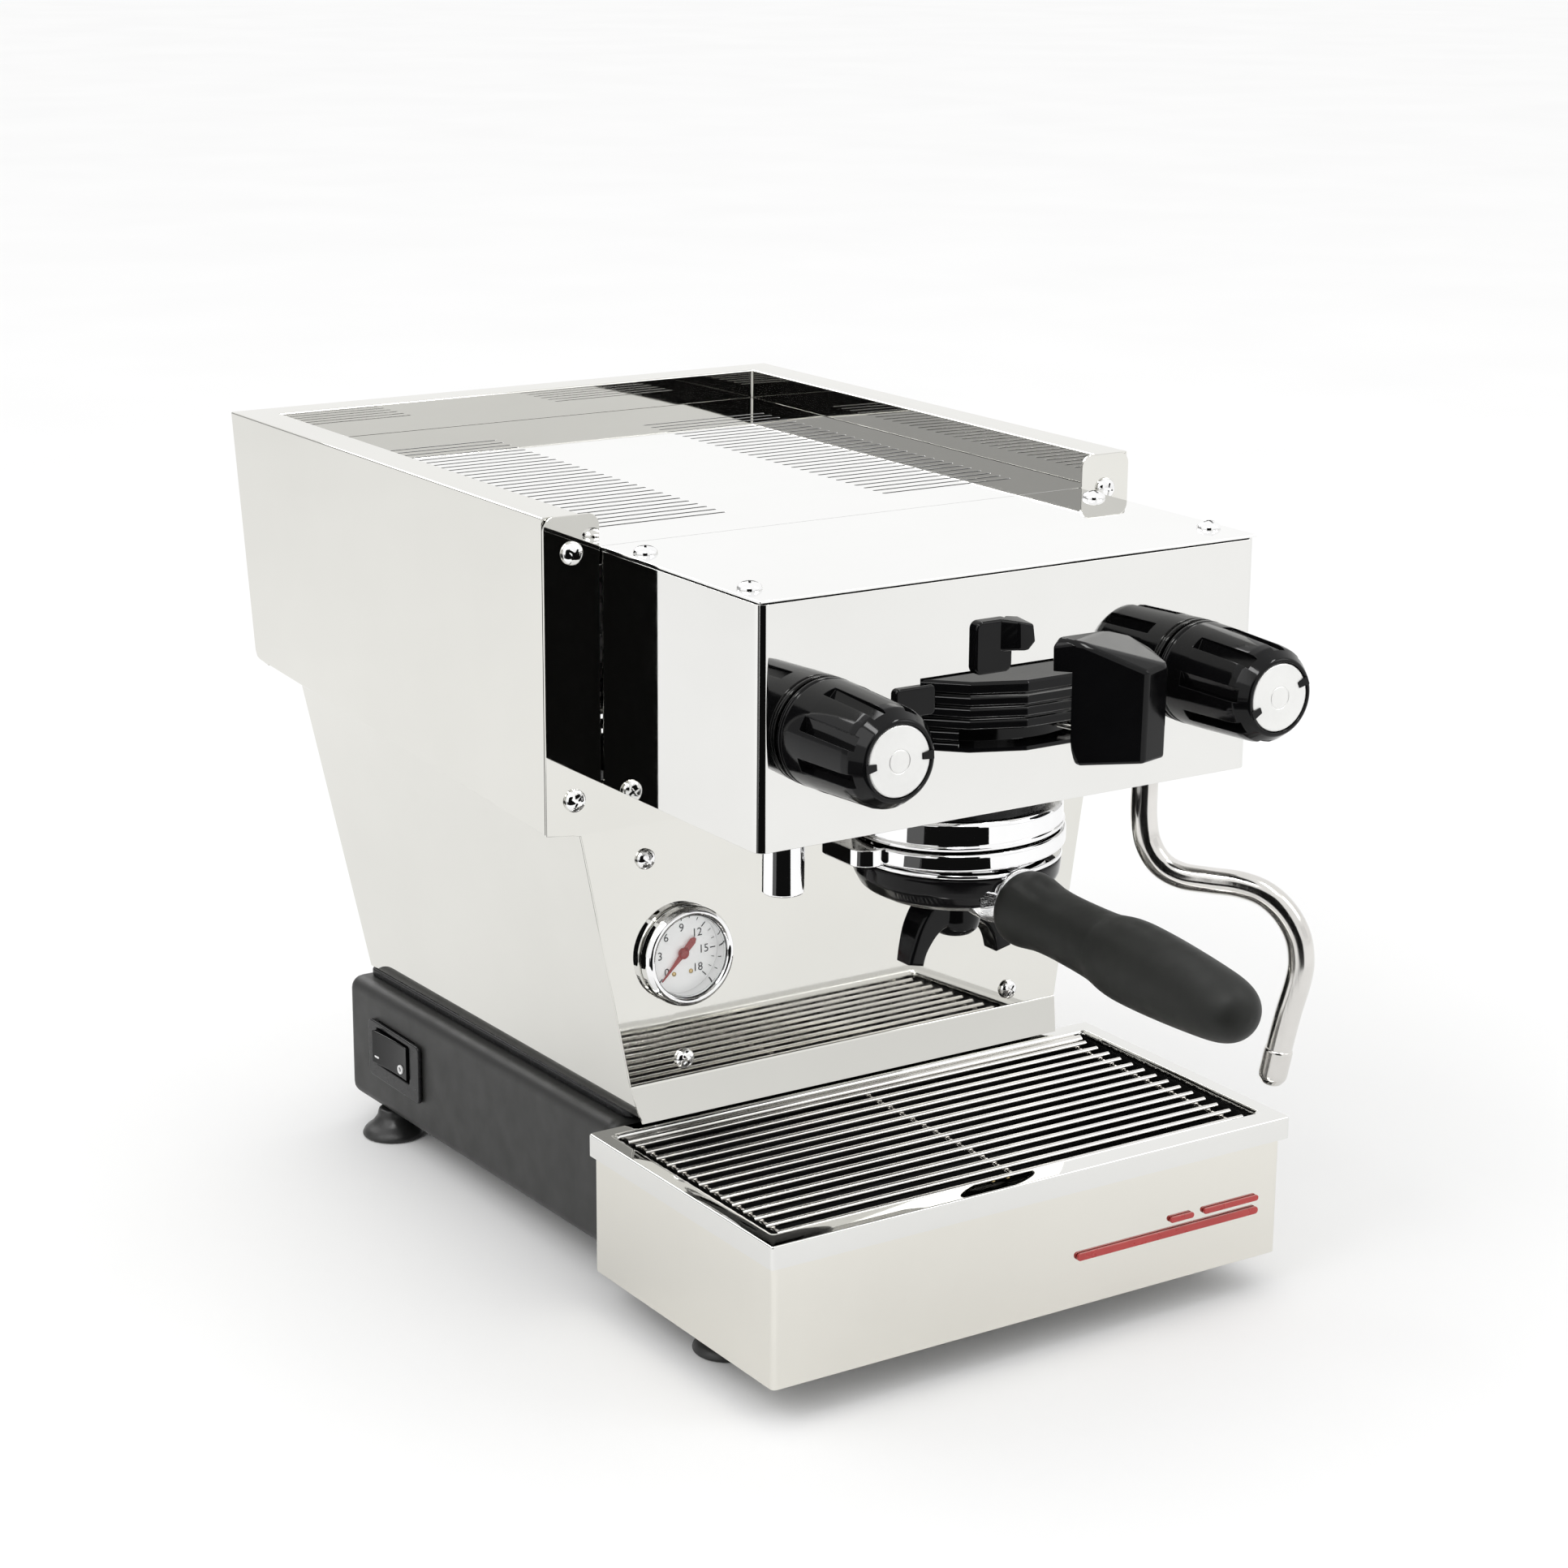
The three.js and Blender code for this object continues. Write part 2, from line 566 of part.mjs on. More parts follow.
// ---------- knobs and valves ----------
function knob(pointerDegrees) {
  const body = turned(
    [
      [0, 15], [5.6, 15], [5.6, 0.6], [23.4, 0.6], [24, 2], [21.6, KNOB_LENGTH - 9],
      [16.8, KNOB_LENGTH - 0.6], [15.9, KNOB_LENGTH], [15.9, KNOB_LENGTH - 2.2], [0, KNOB_LENGTH - 2.2],
    ],
    32,
  );
  const grooves = [];
  for (let i = 0; i < 8; i++) {
    const cut = box(-2.6, 2.6, 0, 8, 17, KNOB_LENGTH - 9.5);
    grooves.push(cut.rotate([0, 0, 24]).translate([0, 19.5, 0]).rotate([0, 0, i * 45 + 10]));
  }
  const teeth = [0, 180].map((turn) =>
    box(12, 16.5, -1.5, 1.5, KNOB_LENGTH - 2.4, KNOB_LENGTH).rotate([0, 0, turn + pointerDegrees]),
  );
  return facingFront(union([body.subtract(union(grooves)), ...teeth]));
}

function knobDisc(pointerDegrees) {
  const plate = rod(15.5, KNOB_LENGTH - 1.8, KNOB_LENGTH - 0.4, 24);
  const notches = [0, 180].map((turn) =>
    box(11.6, 17, -1.9, 1.9, 0, 99).rotate([0, 0, turn + pointerDegrees]),
  );
  return facingFront(plate.subtract(union(notches)));
}

const valve = () =>
  facingFront(turned([[0, 0], [9, 0], [13, 6], [13, 50], [5, 50], [5, 65], [0, 65]], 16))
    .translate([0, HEAD_FRONT_Y + 53, 0]);

// ---------- wand and spout ----------
// The wand lies in an upright plane, turned outwards from the front; s is the distance from its
// swivel axis in that plane.
const WAND_TURN = THREE.MathUtils.degToRad(50);
const wandPoint = (s, z) =>
  new THREE.Vector3(WAND_X + s * Math.cos(WAND_TURN), WAND_Y - s * Math.sin(WAND_TURN), z);

function steamWand() {
  const points = [
    [0, 264], [0, 240], [0.3, 222], [3, 210], [9.5, 201], [20, 196.6], [33, 196], [46, 195.6],
    [57.5, 192.5], [67, 185.5], [74, 175], [76.7, 164], [75.9, 153], [71.8, 134], [68.6, 117.5],
  ];
  const path = new THREE.CatmullRomCurve3(points.map(([s, z]) => wandPoint(s, z)));
  const section = new THREE.Shape().absarc(0, 0, 6.3, 0, 2 * Math.PI);
  return solid(new THREE.ExtrudeGeometry(section, {
    steps: 30, curveSegments: 5, extrudePath: path, bevelEnabled: false,
  }));
}

function steamTip() {
  const profile = [[0, 0], [3, 0], [5.2, 1.6], [6.9, 4.5], [6.9, 18.6], [0, 18.6]];
  const lean = Math.atan2(68.6 - 66.9, 18);
  const end = wandPoint(65.5, 98.5);
  return turned(profile, 16)
    .rotate([0, THREE.MathUtils.radToDeg(lean) + 2.5, 0])
    .rotate([0, 0, -50])
    .translate([end.x, end.y, end.z]);
}

function wandNut() {
  const nut = rod(11.5, 254.7, 268, 6).subtract(rod(6.9, 250, 270, 16));
  return nut.translate([WAND_X, WAND_Y, 0]);
}

function waterSpout() {
  const tube = rod(9.4, 222.5, 272, 24).subtract(rod(7, 200, 250, 24));
  return tube.translate([SPOUT_X, SPOUT_Y, 0]);
}

// ---------- gauges ----------
function gaugeCase() {
  const shell = turned(
    [
      [0, -26], [20, -26], [21.6, -24], [21.6, 0.7], [25, 0.7], [25.4, 3], [24.6, 7.5], [22.6, 9],
      [21, 8.4], [20.4, 4.2], [20.4, -3], [0, -3],
    ],
    32,
  );
  return facingFront(shell);
}
const gaugeDial = () => facingFront(rod(20, -2.6, -1.4, 28));
const gaugeGlass = () => facingFront(rod(20, 4.6, 6.2, 28));
function gaugeNeedle() {
  const hub = rod(2.6, 0, 2.4, 12);
  const blade = prism([[-1.3, 1], [1.3, 1], [0.3, -16.5], [-0.3, -16.5]], "xy", 0.6, 1.4);
  const tail = prism([[-2, 7.5], [2, 7.5], [1.3, 0], [-1.3, 0]], "xy", 0.6, 1.4);
  return facingFront(union([hub, blade, tail]).rotate([0, 0, -43]).translate([0, 0, -0.9]));
}

// ---------- drip tray ----------
function dripCover() {
  const top = LIP_TOP_Z - LIP_H + 2;
  const outer = box(-DRIP_HALF_W, DRIP_HALF_W, DRIP_FRONT_Y, -5.4, DRIP_BOTTOM_Z, top);
  const inner = box(
    -DRIP_HALF_W + SHEET, DRIP_HALF_W - SHEET, DRIP_FRONT_Y + SHEET, 5, DRIP_BOTTOM_Z - 5, top + 5,
  );
  return outer.subtract(inner);
}

// The basin hangs from a lip that overlaps the cover.
function dripBasin() {
  const lipPlan = roundedRect(-LIP_HALF_W, LIP_HALF_W, LIP_FRONT_Y, -3.5, 1.2);
  const lip = prism(lipPlan, "xy", LIP_TOP_Z - LIP_H, LIP_TOP_Z, { segments: 3 });
  const clear = 1.4;
  const hollow = box(
    -LIP_HALF_W + clear, LIP_HALF_W - clear, LIP_FRONT_Y + clear, -3.5 - clear,
    LIP_TOP_Z - LIP_H - 1, LIP_TOP_Z - clear,
  );
  const wall = 1.2;
  const walls = box(-BASIN_HALF_W - wall, BASIN_HALF_W + wall, BASIN_FRONT_Y - wall, DRIP_REAR_Y + wall,
    SHELF_TOP_Z + GAP, LIP_TOP_Z - 0.7);
  const inside = box(-BASIN_HALF_W, BASIN_HALF_W, BASIN_FRONT_Y, DRIP_REAR_Y,
    SHELF_TOP_Z + GAP + 1.5, LIP_TOP_Z + 5);
  const ledges = [-1, 1].map((side) => {
    const x = side * (BASIN_HALF_W - 5);
    return box(x - 6, x + 6, BASIN_FRONT_Y - 0.5, DRIP_REAR_Y + 0.5, GRATE_Z - 6, GRATE_Z - 4.2);
  });
  return union([lip.subtract(hollow).add(walls).subtract(inside), ...ledges]);
}

// The grate: thin rods across, a thicker one at the rear, on three cross wires.
function dripGrate() {
  const rods = 14;
  const across = (r, y, half, segments) =>
    rod(r, -half, half, segments).rotate([0, 90, 0]).translate([0, y, GRATE_Z]);
  const parts = [across(2.4, DRIP_REAR_Y - 3.2, 132, 8)];
  const first = -21.5;
  const pitch = (BASIN_FRONT_Y + 5 - first) / (rods - 1);
  for (let i = 0; i < rods; i++) parts.push(across(1.35, first + i * pitch, 131, 6));
  for (const x of [-126.5, 0, 126.5]) {
    const wire = rod(1.5, -DRIP_REAR_Y + 2, -BASIN_FRONT_Y - 2.5, 6);
    parts.push(facingFront(wire).translate([x, 0, GRATE_Z - 2.4]));
  }
  return union(parts);
}

const badge = () =>
  prism(roundedRect(22, 129, 41, 46, 2.4), "xz", DRIP_FRONT_Y - 1.6, DRIP_FRONT_Y - 0.35, { segments: 2 });

// ---------- power switch and inlet ----------
const SWITCH_Y = 222;
const SWITCH_Z = 49;
function switchBezel() {
  const x = -BASE_HALF_W - 0.3;
  const flange = prism(roundedRect(SWITCH_Y - 29, SWITCH_Y + 28, 34, 65, 2), "yz", x - 2, x);
  const sleeve = box(x - 1, x + 8, SWITCH_Y - 20, SWITCH_Y + 20, 40.5, 64.6);
  const hole = box(x - 5, x + 20, SWITCH_Y - 18.5, SWITCH_Y + 18.5, 42, 62.5);
  return flange.add(sleeve).subtract(hole);
}
function rocker() {
  const s = new THREE.Shape();
  s.moveTo(-17.5, 0);
  s.lineTo(17.5, 0);
  s.lineTo(17.5, 7);
  s.quadraticCurveTo(0, 2.5, -17.5, 5);
  const body = prism(s, "xy", 42.8, 60.8, { segments: 8 });
  return body.rotate([0, 0, 90]).translate([-BASE_HALF_W + 1.5, SWITCH_Y, 1]);
}
function mainsInlet() {
  const y = BASE_REAR_Y + 0.3;
  const flange = prism(roundedRect(61, 105, 36.5, 65.5, 3), "xz", y, y + 2);
  const plug = box(69, 97, y - 20, y + 1, 41, 61);
  const socket = box(71, 95, y - 16, y + 5, 43, 59);
  return flange.add(plug).subtract(socket);
}

// ---------- inside ----------
const drum = (r, length) =>
  turned(
    [[0, 0], [r * 0.75, 0], [r, r * 0.22], [r, length - r * 0.22], [r * 0.75, length], [0, length]], 20,
  );
const coffeeBoiler = () => facingFront(drum(33, 92)).translate([0, 76, 304]);
const steamBoiler = () => drum(56, 210).rotate([0, 90, 0]).translate([-105, 180, 292]);
function pumpMotor() {
  return facingFront(drum(38, 110)).translate([-52, 190, 170]);
}
function rotaryPump() {
  const head = facingFront(turned([[0, 0], [20, 0], [24, 4], [24, 38], [8, 38], [8, 45], [0, 45]], 16));
  return head.translate([-52, 236, 170]);
}
function waterTank() {
  const shape = roundedRect(-100, 100, 22, 228, 10);
  const inside = roundedRect(-97.5, 97.5, 24.5, 225.5, 8);
  return prism(shape, "xy", 28, 76).subtract(prism(inside, "xy", 30.5, 90));
}
const controlBox = () => prism(roundedRect(18, 98, 140, 240, 4), "xy", 112, 190, { segments: 2 });

// ---------- assembly ----------
place("base_chassis", baseChassis(), blackPaint);
for (const [side, sign] of [["left", -1], ["right", 1]]) {
  place(`foot_rear_${side}`, foot(14.2).translate([sign * FOOT_REAR_X, FOOT_REAR_Y, 0]), rubber);
  place(`foot_front_${side}`, foot(21.3).translate([sign * FOOT_FRONT_X, FOOT_FRONT_Y, 0]), rubber);
  place(`lower_side_panel_${side}`, lowerSide(sign), polished);
}
place("plinth_strip", plinth(), blackPaint);
place("lower_rear_panel", lowerRear(), polished);
place("upper_shell", upperShell(), polished);
place("front_panel", frontPanel(), polished);
place("cup_tray", cupTray(), polished);
place("head_cover", headCover(), polished);
place("head_top_plate", headTopPlate(), polished);
place("head_floor", headFloor(), satinSteel);

for (const [side, sign] of [["left", -1], ["right", 1]]) {
  for (const [row, z] of [["upper", 360], ["lower", 246.5]]) {
    const screw = facingFront(domedScrew(5.3, 3)).translate([sign * 149, 0, z]);
    place(`ear_screw_${row}_${side}`, screw, chrome);
  }
}

place("group_body", groupBody(), brass);
place("group_ring", groupRing(), chrome);
place("shower_screen", showerScreen(), satinSteel);
place("group_cap", groupCap(), glossBlack);
place("cap_tab", capTab(), glossBlack);
place("brew_paddle", brewPaddle(), glossBlack);

place("portafilter_body", portafilterBody(), chrome);
place("filter_basket", filterBasket(), satinSteel);
place("portafilter_handle", portafilterHandle(), grip);
place("double_spout", doubleSpout(), glossBlack);

for (const [name, sign, pointer] of [["water", -1, 0], ["steam", 1, 20]]) {
  const at = [sign * KNOB_X, HEAD_FRONT_Y, KNOB_Z];
  place(`${name}_knob`, knob(pointer).translate(at), glossBlack);
  place(`${name}_knob_disc`, knobDisc(pointer).translate(at), white);
  place(`${name}_valve`, valve().translate([sign * KNOB_X, 0, KNOB_Z]), brass);
}

place("steam_wand", steamWand(), satinSteel);
place("steam_tip", steamTip(), satinSteel);
place("wand_nut", wandNut(), chrome);
place("hot_water_spout", waterSpout(), chrome);

for (const [name, sign] of [["brew", -1], ["steam", 1]]) {
  const lean = THREE.MathUtils.radToDeg(Math.atan2(-BEND_Y, WAIST_Z - BEND_Z));
  const set = (s) => s.rotate([-lean, 0, 0]).translate([sign * GAUGE_X, splashY(GAUGE_Z), GAUGE_Z]);
  place(`${name}_gauge_case`, set(gaugeCase()), chrome);
  place(`${name}_gauge_dial`, set(gaugeDial()), white);
  place(`${name}_gauge_needle`, set(gaugeNeedle()), red);
  place(`${name}_gauge_glass`, set(gaugeGlass()), glass);
}

place("drip_tray_cover", dripCover(), polished);
place("drip_basin", dripBasin(), polished);
place("drip_grate", dripGrate(), satinSteel);
place("front_badge", badge(), red);
place("switch_bezel", switchBezel(), darkPlastic);
place("switch_rocker", rocker(), darkPlastic);
place("mains_inlet", mainsInlet(), darkPlastic);

place("coffee_boiler", coffeeBoiler(), copper);
place("steam_boiler", steamBoiler(), copper);
place("pump_motor", pumpMotor(), darkPlastic);
place("rotary_pump", rotaryPump(), brass);
place("water_tank", waterTank(), tankPlastic);
place("control_box", controlBox(), darkPlastic);

// The footprint's centre becomes the origin.
group.position.y = -(REAR_TOP_Y + HANDLE_TIP_Y) / 2;

export default group;
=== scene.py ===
"""The espresso machine's looks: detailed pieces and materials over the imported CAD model."""

import math

import bmesh
import bpy
from mathutils import Matrix, Vector


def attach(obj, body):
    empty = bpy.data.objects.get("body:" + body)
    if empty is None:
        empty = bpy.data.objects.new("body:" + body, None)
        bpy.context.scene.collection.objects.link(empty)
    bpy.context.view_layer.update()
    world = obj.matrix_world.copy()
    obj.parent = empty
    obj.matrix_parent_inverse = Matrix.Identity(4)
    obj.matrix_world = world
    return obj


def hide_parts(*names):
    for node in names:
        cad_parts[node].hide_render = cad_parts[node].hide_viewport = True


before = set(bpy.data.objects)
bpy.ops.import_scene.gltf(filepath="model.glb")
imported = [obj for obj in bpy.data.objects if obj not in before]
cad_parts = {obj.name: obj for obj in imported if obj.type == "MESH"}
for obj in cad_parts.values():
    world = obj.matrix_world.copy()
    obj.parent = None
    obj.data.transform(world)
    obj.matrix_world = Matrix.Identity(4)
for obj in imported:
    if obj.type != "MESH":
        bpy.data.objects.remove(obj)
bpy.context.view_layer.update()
scene = bpy.context.scene

# ---------- units and frame ----------
MM = 0.001
SHIFT_Y = -18.0  # the CAD's own Y = 0, the front panel's face, lies here in the row frame


def pt(x, y, z):
    """A point given in millimetres from the front panel's face, in the row frame's metres."""
    return Vector((x * MM, (y + SHIFT_Y) * MM, z * MM))


# ---------- sizes, in millimetres ----------
SHEET = 1.2
TOP_Z = 377
BODY_HALF_W = 163.3
RAIL_X = 143.7
RAIL_Y = 311
REAR_TOP_Y = 329
REAR_BOTTOM_Y = 309
WAIST_Z = 229
WAIST_HALF_W = 145.6
SIDE_SLOPE = 0.182
BEND_Y, BEND_Z = -5, 105.5
SPLASH_FOOT_Y, SPLASH_FOOT_Z = -11, 88.6
HEAD_HALF_W = 134
HEAD_FRONT_Y = -130.3
HEAD_TOP_Z = 361.5
HEAD_BOTTOM_Z = 252
GROUP_Y = -88
CAP_Y = -91.5
CAP_TOP_Z = 317.5
CAP_BOTTOM_Z = 286.2
KNOB_X, KNOB_Z = 102, 301.5
WAND_X, WAND_Y = 103, -95
GAUGE_X, GAUGE_Z = 93, 165
SWITCH_Y = 222
BASE_TILT = 0.0217  # the base's fall towards the rear, per mm


def splash_y(z):
    return 0 if z > WAIST_Z else BEND_Y * (WAIST_Z - z) / (WAIST_Z - BEND_Z)


def shell_bottom(y):
    """The height of the upper body's lower edge, which rises towards the rear."""
    return 231.5 + 19.5 * y / REAR_BOTTOM_Y


def lower_half_width(z):
    return WAIST_HALF_W - SIDE_SLOPE * (WAIST_Z - z)


# ---------- materials ----------
class Nodes:
    """A material's node tree, with short ways to add nodes."""

    def __init__(self, name):
        self.mat = bpy.data.materials.new(name)
        self.mat.use_nodes = True
        self.tree = self.mat.node_tree
        self.bsdf = next(n for n in self.tree.nodes if n.type == "BSDF_PRINCIPLED")
        self.coord = self.tree.nodes.new("ShaderNodeTexCoord").outputs["Object"]

    def set(self, **values):
        for key, value in values.items():
            self.bsdf.inputs[key.replace("_", " ")].default_value = value
        return self

    def link(self, a, b):
        self.tree.links.new(a, b)

    def stretched(self, scale):
        m = self.tree.nodes.new("ShaderNodeMapping")
        m.inputs["Scale"].default_value = scale
        self.link(self.coord, m.inputs["Vector"])
        return m.outputs["Vector"]

    def noise(self, scale, detail=3.0, rough=0.5, vector=None):
        n = self.tree.nodes.new("ShaderNodeTexNoise")
        n.inputs["Scale"].default_value = scale
        n.inputs["Detail"].default_value = detail
        n.inputs["Roughness"].default_value = rough
        self.link(vector or self.coord, n.inputs["Vector"])
        return n.outputs["Fac"]

    def spread(self, value, low, high, to_low, to_high):
        n = self.tree.nodes.new("ShaderNodeMapRange")
        for socket, number in zip(n.inputs[1:5], (low, high, to_low, to_high)):
            socket.default_value = number
        self.link(value, n.inputs[0])
        return n.outputs[0]

    def ramp(self, value, stops):
        n = self.tree.nodes.new("ShaderNodeValToRGB")
        ramp = n.color_ramp
        while len(ramp.elements) < len(stops):
            ramp.elements.new(0.5)
        for e, (at, color) in zip(ramp.elements, stops):
            e.position = at
            e.color = (*color, 1)
        self.link(value, n.inputs[0])
        return n.outputs[0]

    def bump(self, height, strength, distance):
        n = self.tree.nodes.new("ShaderNodeBump")
        n.inputs["Strength"].default_value = strength
        n.inputs["Distance"].default_value = distance
        self.link(height, n.inputs["Height"])
        self.link(n.outputs[0], self.bsdf.inputs["Normal"])

    def color(self, socket):
        self.link(socket, self.bsdf.inputs["Base Color"])

    def rough(self, socket):
        self.link(socket, self.bsdf.inputs["Roughness"])


def surface(name, colors, clouds, rough, grain, bump=None, top=0.75, grain_span=(0.3, 0.75), **values):
    """Two colours mixed by clouds, a roughness varied by grain, and perhaps a bump.

    clouds, grain and bump start with a noise's scale, detail and roughness; bump ends with its
    strength and its height in metres.
    """
    n = Nodes(name).set(**values)
    n.color(n.ramp(n.noise(*clouds), [(0.3, colors[0]), (top, colors[1])]))
    n.rough(n.spread(n.noise(*grain), *grain_span, *rough))
    if bump:
        n.bump(n.noise(*bump[:-2]), *bump[-2:])
    return n


def polished_steel(name, low, high):
    return surface(
        name, (low, high), (9, 4, 0.6), (0.02, 0.045), (160, 2, 0.6), (420, 2, 0.02, 0.00004),
        top=0.7, grain_span=(0.35, 0.75), Metallic=1.0,
    ).mat


def satin_steel():
    """Steel with a grain drawn out along Z."""
    n = Nodes("satin_steel").set(Metallic=1.0)
    n.color(n.ramp(n.noise(40, 3), [(0.3, (0.64, 0.625, 0.60)), (0.7, (0.73, 0.715, 0.69))]))
    grain = n.noise(900, 2, 0.6, n.stretched((1, 1, 0.05)))
    n.rough(n.spread(grain, 0.3, 0.7, 0.09, 0.17))
    n.bump(grain, 0.05, 0.00008)
    return n.mat


def cast_chrome():
    """Chrome over a rough casting: its lumps are darker and less polished in their hollows."""
    n = Nodes("cast_chrome").set(Metallic=1.0)
    lumps = n.noise(230, 5, 0.7)
    n.color(n.ramp(lumps, [(0.3, (0.55, 0.55, 0.56)), (0.65, (0.9, 0.9, 0.9))]))
    n.rough(n.spread(lumps, 0.3, 0.7, 0.22, 0.06))
    n.bump(lumps, 0.55, 0.0007)
    return n.mat


def clear_glass():
    """A mirror that is only as opaque as glass reflects, so that light passes straight through."""
    n = surface("gauge_glass", ((0.95, 0.98, 0.97), (0.985, 1.0, 0.995)), (30, 2), (0.0, 0.02),
                (160, 2), grain_span=(0.3, 0.8), Metallic=1.0)
    fresnel = n.tree.nodes.new("ShaderNodeFresnel")
    fresnel.inputs["IOR"].default_value = 1.3
    n.link(fresnel.outputs[0], n.bsdf.inputs["Alpha"])
    return n.mat


# Four copies of one polished steel, each made lighter or darker by how light falls on the panels it covers:
# the copy for the tops (cup shelf, head lid) is painted lighter, and the body's copy is painted darker.
STEEL = polished_steel("head_steel", (0.75, 0.747, 0.727), (0.775, 0.773, 0.755))
BODY_STEEL_SHADED = polished_steel("body_steel_shaded", (0.703, 0.696, 0.658), (0.727, 0.72, 0.682))
TRAY_STEEL = polished_steel("tray_steel", (0.752, 0.735, 0.68), (0.777, 0.76, 0.705))
TOP_STEEL_LIT = polished_steel("top_steel_lit", (0.86, 0.86, 0.85), (0.885, 0.885, 0.878))
PLAIN = surface("plain_steel", ((0.55, 0.545, 0.53), (0.64, 0.635, 0.62)), (30, 3), (0.22, 0.34),
                (220, 2), top=0.7, grain_span=(0.3, 0.7), Metallic=1.0).mat
SATIN = satin_steel()
CHROME = surface("chrome", ((0.87, 0.87, 0.875), (0.92, 0.92, 0.92)), (25, 2), (0.015, 0.05),
                 (120, 2), top=0.7, Metallic=1.0).mat
CAST = cast_chrome()
GLOSS = surface("gloss_black", ((0.0022, 0.0022, 0.0024), (0.004, 0.004, 0.0044)), (18, 3),
                (0.07, 0.14), (140, 3), (900, 2, 0.03, 0.00008), Specular_IOR_Level=0.2).mat
GRIP = surface("grip_black", ((0.0085, 0.0092, 0.0078), (0.0125, 0.0133, 0.0115)), (26, 3),
               (0.46, 0.6), (90, 3), (2600, 2, 0.7, 0.16, 0.0002), Specular_IOR_Level=0.28).mat
PAINT = surface("black_paint", ((0.0155, 0.0155, 0.0149), (0.02, 0.02, 0.0191)), (12, 4),
                (0.4, 0.52), (70, 3), (1900, 3, 0.7, 0.2, 0.00022), Specular_IOR_Level=0.35).mat
RUBBER = surface("foot_rubber", ((0.010, 0.010, 0.010), (0.018, 0.018, 0.0175)), (60, 3),
                 (0.32, 0.5), (240, 3), (1500, 2, 0.12, 0.00015)).mat
PLASTIC = surface("dark_plastic", ((0.0065, 0.0065, 0.007), (0.011, 0.011, 0.0115)), (60, 3),
                  (0.2, 0.32), (200, 3), (2400, 2, 0.1, 0.0001), Specular_IOR_Level=0.25).mat
# Painted shade: a black set where hollows are shaded (behind the cup shelf's slots, inside the water outlet
# and inside the basin), and also in the lid's dark seam.
SHADE_AND_SEAM_BLACK = surface("shade_and_seam_black", ((0.008, 0.008, 0.008), (0.016, 0.016, 0.016)), (30, 3),
                 (0.5, 0.7), (60, 3), Specular_IOR_Level=0.15).mat
DISC = surface("disc_metal", ((0.79, 0.79, 0.775), (0.84, 0.84, 0.825)), (50, 3), (0.34, 0.5),
               (420, 3), (1500, 2, 0.08, 0.0001), Metallic=0.85).mat
# The dial glows faintly: painted light that lifts it out of the shade of its case.
DIAL_GLOWING = surface("dial_white", ((0.90, 0.91, 0.905), (0.94, 0.945, 0.94)), (40, 2), (0.35, 0.5),
               (200, 2), Emission_Color=(1, 1, 0.99, 1), Emission_Strength=0.2).mat
INK = surface("print_black", ((0.02, 0.02, 0.022), (0.035, 0.035, 0.037)), (300, 2), (0.4, 0.55),
              (200, 2)).mat
MARK = surface("print_white", ((0.72, 0.72, 0.72), (0.82, 0.82, 0.82)), (300, 2), (0.4, 0.55),
               (200, 2)).mat
RED = surface("red_paint", ((0.36, 0.018, 0.016), (0.45, 0.026, 0.022)), (60, 3), (0.25, 0.4),
              (200, 2), Coat_Weight=0.4, Coat_Roughness=0.05).mat
GLASS = clear_glass()
BRASS = surface("brass", ((0.62, 0.45, 0.2), (0.74, 0.56, 0.28)), (45, 4), (0.2, 0.36), (150, 3),
                Metallic=1.0).mat
TANK = surface("tank_plastic", ((0.60, 0.65, 0.66), (0.68, 0.72, 0.73)), (20, 3), (0.2, 0.35),
               (90, 3)).mat


# ---------- mesh helpers ----------
def finish(me, angle=32):
    """Smooth faces, with edges sharper than the angle kept crisp."""
    for p in me.polygons:
        p.use_smooth = True
    me.set_sharp_from_angle(angle=math.radians(angle))


def add(name, me, material, body="machine", replaces=(), angle=32):
    obj = bpy.data.objects.new(name, me)
    scene.collection.objects.link(obj)
    me.materials.clear()
    me.materials.append(material)
    finish(me, angle)
    obj.modifiers.new("flat faces", "WEIGHTED_NORMAL").keep_sharp = True
    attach(obj, body)
    if replaces:
        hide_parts(*replaces)
    return obj


def from_bmesh(name, bm):
    bmesh.ops.recalc_face_normals(bm, faces=bm.faces)
    me = bpy.data.meshes.new(name)
    bm.to_mesh(me)
    bm.free()
    return me


def applied(obj):
    """The object's mesh with its modifiers, or a curve's filled shape, as plain mesh data."""
    bpy.context.view_layer.update()
    ev = obj.evaluated_get(bpy.context.evaluated_depsgraph_get())
    me = bpy.data.meshes.new_from_object(ev)
    bpy.data.objects.remove(obj)
    return me


# Axes for an outline's two coordinates and its thickness.
PLANES = {
    "xy": ((1, 0, 0), (0, 1, 0), (0, 0, 1)),
    "xz": ((1, 0, 0), (0, 0, 1), (0, -1, 0)),
    "yz": ((0, 1, 0), (0, 0, 1), (1, 0, 0)),
}


def plane_matrix(plane, at):
    u, v, w = (Vector(a) for a in PLANES[plane])
    place = pt(0, 0, 0) + w * (at * MM)
    if plane == "xz":
        place = pt(0, at, 0)
    return Matrix.Translation(place) @ Matrix((u, v, w)).transposed().to_4x4()


